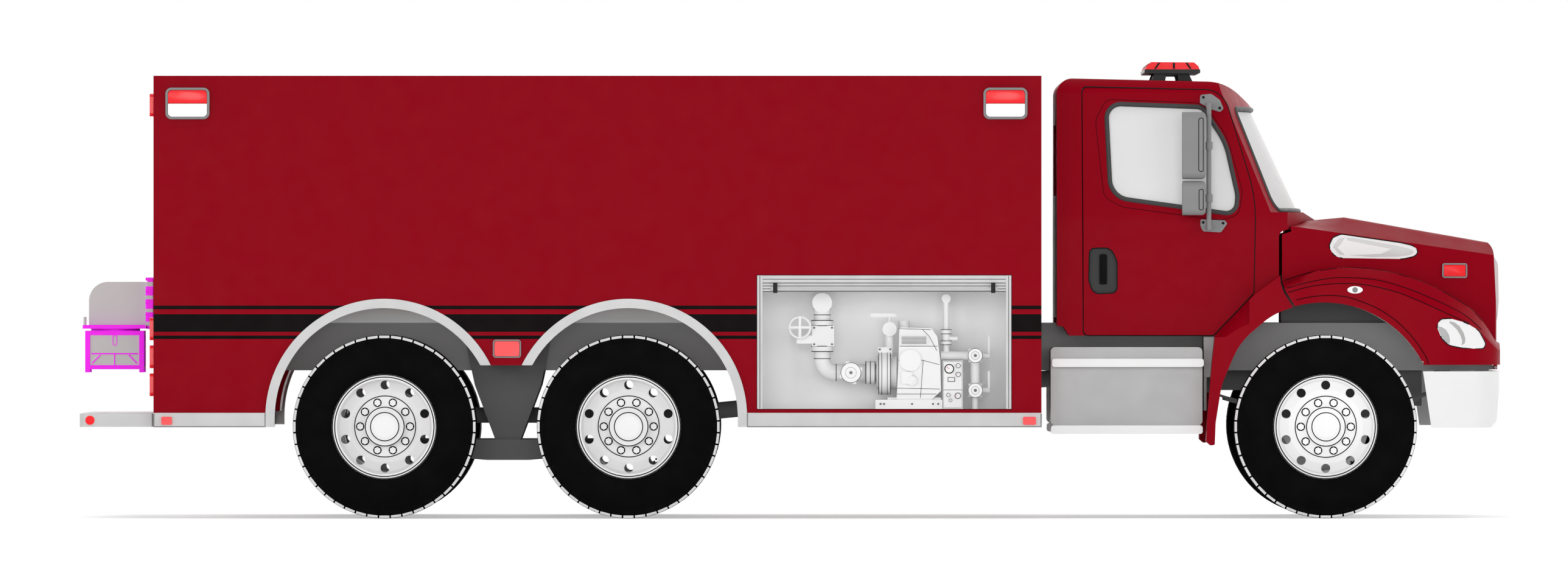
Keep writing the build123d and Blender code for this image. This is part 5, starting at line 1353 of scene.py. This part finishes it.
@dataclass
class Cab:
    """The cab: seals, glazing, door furniture, mirrors, lightbar and interior."""

    door: tuple[Corner, ...] = (
        (1.681, 1.046, 0.033), (2.4275, 1.046, 0.0), (2.659, 1.290, 0.033), (2.670, 1.837, 0.9),
        (2.502, 2.392, 0.16), (2.431, 2.455, 0.12), (1.675, 2.473, 0.033),
    )
    window: tuple[Corner, ...] = (
        (1.812, 2.376, 0.08), (2.366, 2.356, 0.06), (2.500, 2.150, 0.4), (2.566, 1.850, 0.15), (2.556, 1.738, 0.06),
        (1.838, 1.838, 0.12),
    )
    surround: tuple[Corner, ...] = (
        (1.800, 1.838, 0.08), (1.752, 2.280, 0.10), (1.812, 2.400, 0.06), (2.372, 2.378, 0.08), (2.505, 2.190, 0.4),
        (2.594, 1.870, 0.12), (2.572, 1.738, 0.06), (2.470, 1.706, 0.06), (1.905, 1.782, 0.2),
    )
    recess: tuple[Corner, ...] = (
        (1.716, 1.546, 0.030), (1.840, 1.550, 0.060), (1.876, 1.470, 0.060), (1.876, 1.290, 0.034),
        (1.738, 1.284, 0.050), (1.712, 1.360, 0.060),
    )
    screen: tuple[Corner, ...] = (
        (-0.790, 2.345, 0.06), (0.790, 2.345, 0.06), (0.925, 1.762, 0.07), (-0.925, 1.762, 0.07),
    )
    rear_window: tuple[Flat, Flat] = ((-0.556, 1.854), (0.556, 2.256))
    pane_inset: float = 0.014
    pane_depth: float = 0.006
    pane_edge: float = 0.004  # clearance to the opening
    screen_corner: float = 0.070
    housings: tuple[tuple[Corner, ...], ...] = (
        ((2338, 1985, 12), (2364, 1985, 8), (2364, 2290, 8), (2338, 2290, 12)),
        ((2340, 1765, 10), (2364, 1765, 8), (2364, 1882, 8), (2340, 1882, 10)),
    )
    mirror_bolts: tuple[Flat, ...] = ((2371, 2412), (2465, 2350), (2368, 1694), (2482, 1690))
    mirror_heads: tuple[Flat, ...] = ((1.735, 1.930), (1.942, 2.325))
    lens: tuple[Flat, ...] = ((2040, 2574), (2354, 2574), (2348, 2593), (2323, 2615.5), (2075, 2616), (2048, 2595))
    seat_y: float = 0.580
    pads: tuple[Cushion, ...] = (
        Cushion("squab", 2.005, 1.362, (0.500, 0.470, 0.130), -3, 0.022),
        Cushion("back", 1.790, 1.700, (0.130, 0.470, 0.560), -11, 0.022),
        Cushion("headrest", 1.727, 2.055, (0.090, 0.235, 0.180), -5, 0.012),
    )

    def door_lines(self, side: Side) -> None:
        """Runs the door's seal, its window's gasket, a bead of painted shade along its window's swage, and the edge
        of its handle recess.

        Args:
            side: the door's side.
        """
        door = f"door_{side.word}"
        # The window swage's bead is dark maroon, painted shade along the pressed line
        for name, corners, sunk, radius, finish, slot, body in (
            ("door_seal", self.door, 0.004, 0.0036, BLACK_PLASTIC, "interior", "chassis"),
            ("window_gasket", self.window, 0.006, 0.014, GASKET_RUBBER, "interior", door),
            ("handle_edge", self.recess, 0.001, 0.003, BLACK_PLASTIC, "interior", door),
            ("window_swage", self.surround, 0.0012, 0.0022, SHADED_ENAMEL, "red_paint", door),
        ):
            path = [(x, side.value * (cab_side(z) - sunk), z) for x, z in rounded_outline(corners, 8)]
            dress(seal(f"{name}_{side.word}", path, radius), finish, slot, body)

    def glazing(self) -> None:
        """Fits the windscreen with its gasket and the rear pane, in place of their CAD node."""
        path = [screen_point(y, z, 0.006) for y, z in subdivided(rounded_outline(self.screen, 8), 6)]
        dress(seal("windscreen_gasket", path, 0.016), GASKET_RUBBER, "interior")
        outline = rectangle(*self.rear_window, 0.06, 8)
        points = [(CAB_REAR_X + self.pane_inset, y, z) for y, z in outline]
        rear = slab("rear_pane", points, (self.pane_depth, 0, 0), 0.001)
        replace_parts(dress(joined("cab_panes", [self.windscreen(), rear]), SCREEN_GLAZING, "glass"), "cab_glass")

    def windscreen(self) -> Piece:
        """Bows a grid to the windscreen's opening, rounds its corners and gives it the glass's thickness.

        Returns:
            The pane.
        """
        clear_selection()
        bpy.ops.mesh.primitive_grid_add(x_subdivisions=56, y_subdivisions=20, size=2.0)
        pane = added("windscreen_pane")
        (head_y, head_z), (foot_y, foot_z) = self.screen[1][:2], self.screen[2][:2]
        middle_z, half_z = (head_z + foot_z) / 2, (head_z - foot_z) / 2 - self.pane_edge
        corner = self.screen_corner
        for vertex in pane.data.vertices:
            across, up = vertex.co.x, vertex.co.y * half_z
            half_y = (head_y + foot_y) / 2 + (head_y - foot_y) / 2 * vertex.co.y - self.pane_edge
            past_y, past_z = abs(across) * half_y - (half_y - corner), abs(up) - (half_z - corner)
            past = hypot(past_y, past_z)
            y, z = across * half_y, up
            if past_y > 0 and past_z > 0 and past > corner:
                y = (half_y - corner + past_y * corner / past) * (1 if across > 0 else -1)
                z = (half_z - corner + past_z * corner / past) * (1 if up > 0 else -1)
            vertex.co = screen_point(y, middle_z + z, self.pane_inset)
        apply_modifier(pane, "SOLIDIFY", thickness=self.pane_depth, offset=-1.0)
        with editing(pane):
            face_outwards()
        bpy.ops.object.shade_smooth_by_angle(angle=SHARP)
        return pane

    def mirror(self, side: Side, skin: Skin) -> None:
        """Sets the silvered panes, the plates' bolts and the housings' seams on a mirror with this skin.

        Args:
            side: the mirror's side.
            skin: the mirror's surface.
        """
        sign, word, door = side.value, side.word, f"door_{side.word}"
        panes, bolts = [], []
        for low, high in self.mirror_heads:
            outline = rectangle((-1.246, low + 0.016), (-1.084, high - 0.016), 0.02)
            points = [(2.2518, -sign * y, z) for y, z in outline]
            panes.append(slab("mirror_pane", points, (-0.0025, 0, 0), 0.0006))
        dress(joined(f"mirror_panes_{word}", panes), SILVERED_GLASS, "glass", door)
        for x, z in millimetres(self.mirror_bolts):
            face = skin.depth(x, z, sign)
            start, end = (x, sign * (face - 0.002), z), (x, sign * (face + 0.005), z)
            bolts.append(rod("mirror_bolt", start, end, 0.0085, 6, 0.001))
        dress_black(f"mirror_bolts_{word}", bolts, door)
        rows = [rounded_outline(millimetres(row)) for row in self.housings]
        seams = [seal("housing_seam", skin.draped(row, sign, STAND_OFF), 0.0022) for row in rows]
        dress_black(f"housing_seams_{word}", seams, door)

    def seat(self, side: Side) -> None:
        """Models a seat's pedestal and its three padded blocks with their piping.

        Args:
            side: the seat's side.
        """
        y = side.value * self.seat_y
        corners = rectangle((y - 0.18, 1.1805), (y + 0.18, 1.300))
        base = slab(f"seat_base_{side.word}", [(1.800, py, z) for py, z in corners], (0.360, 0, 0), 0.012)
        dress(base, CAB_VINYL, "interior")
        for cushion in self.pads:
            pad = cushion.pad(f"seat_{cushion.part}_{side.word}", y)
            cord = cushion.piping(f"seat_{cushion.part}_piping_{side.word}", pad, y)
            dress(pad, SEAT_FABRIC, "interior")
            dress(cord, CAB_VINYL, "interior")
        if side is Side.RIGHT:
            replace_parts(base, "seats")

    def lightbar_ribs(self) -> None:
        """Divides the lightbar's lens with black ribs across it and up its ends."""
        parts = []
        for y in (-0.50, -0.30, -0.10, 0.10, 0.30, 0.50):
            parts.append(slab("lens_rib", [(x, y - 0.006, z) for x, z in millimetres(self.lens)], (0, 0.012, 0)))
        for x, shift in ((2.110, 0.012), (2.206, 0.0), (2.290, -0.012)):
            low, high = (x - 0.006 - shift, x + 0.006 - shift), (x + 0.006 + shift, x - 0.006 + shift)
            outline = [(low[0], 2.577), (low[1], 2.577), (high[0], 2.612), (high[1], 2.612)]
            for sign in (side.value for side in Side):
                parts.append(slab("end_rib", on_side(outline, sign * 0.6955), (0, sign * 0.0025, 0)))
        dress_black("lightbar_ribs", parts)

    def build(self, nodes: Nodes) -> None:
        """Builds the cab's pieces and finishes its nodes.

        Args:
            nodes: the frame's nodes.
        """
        refinish(nodes, MAROON_ENAMEL, "cab_shell", "cab_flares")
        refinish(nodes, DOOR_ENAMEL, "door_right", "door_left")
        refinish(nodes, GLAZING, "cab_glass", "door_glass_right", "door_glass_left")
        refinish(nodes, MIRROR_ABS, "side_mirror_right", "side_mirror_left")
        refinish(nodes, CAB_VINYL, "dashboard")
        refinish(nodes, LIGHTBAR_SHELL, "lightbar")
        self.glazing()
        for side in Side:
            self.door_lines(side)
            self.mirror(side, Skin([nodes[f"side_mirror_{side.word}"]]))
            self.seat(side)
        self.lightbar_ribs()


@dataclass
class Hood:
    """The tilting hood's pressed lines traced in painted shade, its lamps and vents, its outlines in millimetres
    unless said.
    """

    swages: tuple[tuple[Flat, ...], ...] = (
        (
            (2838, 1364), (2980, 1408), (3155, 1434), (3310, 1430), (3467, 1402), (3600, 1362), (3720, 1309),
            (3889, 1208), (3973, 1124),
        ),
        (
            (2842, 1318), (2970, 1352), (3113, 1377), (3250, 1376), (3383, 1360), (3510, 1324), (3636, 1276),
            (3847, 1175), (3960, 1082),
        ),
        (
            (2850, 1293), (2990, 1330), (3155, 1345), (3310, 1334), (3467, 1297), (3590, 1250), (3720, 1191),
            (3889, 1115),
        ),
        (
            (2896, 1250), (2980, 1268), (3071, 1276), (3170, 1270), (3256, 1246), (3365, 1200), (3467, 1132),
            (3560, 1040), (3636, 930), (3652, 884),
        ),
    )
    lamp: tuple[Corner, ...] = (
        (3700, 1100, 35), (3722, 1141, 25), (3775, 1145, 60), (3870, 1120, 150), (3945, 1075, 60), (3986, 1000, 25),
        (3973, 970, 22), (3850, 974, 150), (3770, 990, 60), (3728, 1030, 60),
    )
    vent: tuple[Corner, ...] = (
        (3088, 1558, 35), (3112, 1608, 25), (3160, 1628, 50), (3499, 1580, 200), (3575, 1563, 60), (3612, 1528, 22),
        (3585, 1500, 40), (3520, 1485, 120), (3160, 1490, 50), (3118, 1506, 40),
    )
    vent_panel: tuple[Corner, ...] = (
        (3112, 1556, 12), (3150, 1608, 30), (3230, 1606, 60), (3490, 1561, 120), (3560, 1543, 40), (3590, 1526, 10),
        (3556, 1508, 30), (3490, 1499, 60), (3340, 1497, 0), (3152, 1510, 20),
    )
    crescents: tuple[tuple[Flat, ...], ...] = (
        (
            (3709, 1100), (3732, 1094), (3754, 1079), (3771, 1051), (3777, 1023), (3774, 998), (3749, 1012),
            (3728, 1042), (3712, 1075),
        ),
        (
            (3776, 1129), (3801, 1123), (3832, 1101), (3856, 1062), (3866, 1027), (3863, 1004), (3845, 990),
            (3847, 1018), (3837, 1051), (3815, 1084), (3787, 1110), (3773, 1120),
        ),
    )
    # The side marker's frame and lens, in metres
    marker: tuple[Flat, Flat] = ((3.745, 1.376), (3.891, 1.461))
    marker_lens: tuple[Flat, Flat] = ((3.755, 1.386), (3.881, 1.451))
    oval: tuple[float, float, float, float] = (3233, 1308, 44, 21)

    def plate(self, skin: Skin, name: str, outline: Iterable[Flat], sign: int, span: Flat) -> Piece:
        """Models a plate that follows the hood's side.

        Args:
            skin: the surface.
            name: the piece's name.
            outline: its outline in metres.
            sign: the side's sign.
            span: where its back and face lie, as distances outside the surface.

        Returns:
            The new object.
        """
        back, face = span
        return slab(name, skin.draped(outline, sign, back), (0, sign * (face - back), 0), 0.0015)

    def lines(self, skin: Skin, side: Side) -> None:
        """Traces the swages on one side in thin dark beads of painted shade and edges its lamp and vent.

        Args:
            skin: the hood's surface.
            side: the side.
        """
        sign, word, proud = side.value, side.word, 0.0004
        paths = [skin.draped(smooth_line(millimetres(row)), sign, proud) for row in self.swages]
        # Beads along the swages in dark maroon: painted shade of the pressed lines
        swages = [seal("swage", path, 0.0026, closed=False) for path in paths]
        dress(joined(f"hood_swages_{word}", swages), SHADED_ENAMEL, "red_paint", "hood")
        rows = [rounded_outline(millimetres(corners)) for corners in (self.lamp, self.vent)]
        edges = [seal("edge", skin.draped(row, sign, proud), 0.0034) for row in rows]
        dress_black(f"lamp_edges_{word}", edges, "hood")

    def lamps(self, skin: Skin, side: Side) -> None:
        """Builds the vent's panel and the lamps of one side.

        Args:
            skin: the hood's surface.
            side: the side.
        """
        sign, word = side.value, side.word
        outline = rounded_outline(millimetres(self.vent_panel))
        panel = self.plate(skin, f"vent_panel_{word}", outline, sign, (-0.001, 0.002))
        dress(panel, MID_ABS, "light_grey", "hood")
        rows = [millimetres(crescent) for crescent in self.crescents]
        reflectors = [self.plate(skin, "reflector", row, sign, (-0.001, 0.0018)) for row in rows]
        dress(joined(f"lamp_reflectors_{word}", reflectors), FUEL_ALUMINIUM, "light_grey", "hood")

        points = skin.draped(rectangle(*self.marker, 0.014), sign, -0.002)
        frame = slab(f"marker_bezel_{word}", points, (0, sign * 0.014, 0), 0.002, 0.009)
        dress(frame, MIRROR_ABS, "mirror_grey", "hood")
        outline = rectangle(*self.marker_lens, 0.006)
        lens = self.plate(skin, f"marker_lens_{word}", outline, sign, (-0.002, 0.010))
        dress(lens, RED_ACRYLIC, "red_lens", "hood")

        outline = millimetres(ellipse(*self.oval))
        lamp = self.plate(skin, f"fender_lamp_{word}", outline, sign, (-0.002, 0.008))
        dress(lamp, CLEAR_ACRYLIC, "light_grey", "hood")
        x, z = self.oval[0] / 1000, self.oval[1] / 1000
        face = skin.depth(x, z, sign) + 0.008
        start, end = (x, sign * (face - 0.004), z), (x, sign * (face + 0.004), z)
        bulb = rod(f"fender_bulb_{word}", start, end, 0.016, 32, 0.003)
        dress(bulb, MIRROR_ABS, "mirror_grey", "hood")

    def build(self, nodes: Nodes) -> None:
        """Builds the hood's pieces and finishes its nodes.

        Args:
            nodes: the frame's nodes.
        """
        refinish(nodes, MAROON_ENAMEL, "hood")
        refinish(nodes, LIGHT_ABS, "headlamps", "grilles")
        refinish(nodes, WHITE_ENAMEL, "arch_liners")
        skin = Skin(nodes[name] for name in ("hood", "headlamps", "grilles"))
        for side in Side:
            self.lines(skin, side)
            self.lamps(skin, side)


# ---------------------------------------------------------------- studio


@dataclass
class Studio:
    """A plain pale floor, soft light and a long lens square to the vehicle's right side."""

    frame_width: float = 8.9645  # what the image's width spans at the vehicle's side
    aim: Flat = (-0.033, 1.333)
    lens: float = 500.0
    sensor: float = 36.0
    floor_lift: float = 0.42  # the paper's own light, for the camera alone
    world_light: float = 0.25
    # Name, strength, spread in degrees and the way it shines
    lamps: tuple[tuple[str, float, float, Point], ...] = (
        ("key_light_middle", 1.05, 25, (0.03, 1.0, -0.05)),
        ("key_light_rear", 0.40, 25, (0.48, 0.87, -0.07)),
        ("key_light_front", 0.40, 25, (-0.48, 0.87, -0.07)),
        ("left_fill", 1.4, 60, (-0.2, -0.96, -0.2)),
        ("rear_fill", 1.0, 60, (0.95, 0.0, -0.3)),
        ("front_fill", 1.0, 60, (-0.95, 0.0, -0.3)),
        ("top_fill", 0.9, 60, (0.1, 0.1, -1.0)),
    )

    def floor(self) -> None:
        """Lays the floor, lifted to white for the camera alone where no shadow falls."""
        clear_selection()
        bpy.ops.mesh.primitive_plane_add(size=1.0)
        floor = added("studio_floor")
        floor.data.transform(Matrix.Diagonal((26.0, 18.0, 1.0, 1.0)))
        paper = PALE_FLOOR.material()
        tree = paper.node_tree
        seen = add_node(tree, "LightPath").outputs["Is Camera Ray"]
        shader = next(node for node in tree.nodes if node.bl_idname == "ShaderNodeBsdfPrincipled")
        shader.inputs["Emission Color"].default_value = linear("FFFFFF")
        tree.links.new(maths(tree, "MULTIPLY", seen, self.floor_lift), shader.inputs["Emission Strength"])
        floor.data.materials.append(paper)

    def world(self) -> None:
        """Sets a white surround for the camera and for reflections, and a softer one for light."""
        world = bpy.data.worlds.new("studio_surround")
        bpy.context.scene.world = world
        world.use_nodes = True
        tree = world.node_tree
        tree.nodes.clear()
        rays = add_node(tree, "LightPath").outputs
        seen = maths(tree, "MAXIMUM", rays["Is Camera Ray"], rays["Is Glossy Ray"])
        seen = maths(tree, "MAXIMUM", seen, rays["Is Transmission Ray"])
        level = add_node(tree, "MapRange", inputs={0: seen, 1: 0.0, 2: 1.0, 3: self.world_light, 4: 1.0}).outputs[0]
        sky = add_node(tree, "Background", inputs={"Color": linear("FFFFFF"), "Strength": level})
        add_node(tree, "OutputWorld", inputs={"Surface": sky.outputs[0]})

    def suns(self) -> None:
        """Adds three broad key lights on the camera's side, and a fill from each other side and from above."""
        for name, energy, spread, towards in self.lamps:
            lamp = bpy.data.lights.new(name, "SUN")
            lamp.energy, lamp.angle = energy, radians(spread)
            light = bpy.data.objects.new(name, lamp)
            bpy.context.scene.collection.objects.link(light)
            light.rotation_euler = Vector(towards).to_track_quat("-Z", "Y").to_euler()

    def camera(self) -> None:
        """Places the camera at the photograph's viewing angle."""
        data = bpy.data.cameras.new("side_camera")
        data.lens, data.sensor_width, data.clip_end = self.lens, self.sensor, 20000.0
        eye = bpy.data.objects.new("side_camera", data)
        bpy.context.scene.collection.objects.link(eye)
        distance = self.frame_width * self.lens / self.sensor
        eye.location = (self.aim[0], -BODY_SIDE - distance, self.aim[1])
        eye.rotation_euler = (pi / 2, 0, 0)
        bpy.context.scene.camera = eye

    def build(self) -> None:
        """Sets up the whole studio."""
        self.floor()
        self.world()
        self.suns()
        self.camera()
        bpy.context.scene.view_settings.view_transform = "Standard"


def main() -> None:
    """Builds the sub-assemblies in order, then the studio."""
    logging.basicConfig(level=logging.INFO, format="%(message)s")
    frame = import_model()
    for assembly in (Chassis(), Wheels(), TankBody(), PumpBay(), Cab(), Hood()):
        log.info("building %s", type(assembly).__name__)
        assembly.build(frame["nodes"])
    Studio().build()


if __name__ == "__main__":
    main()
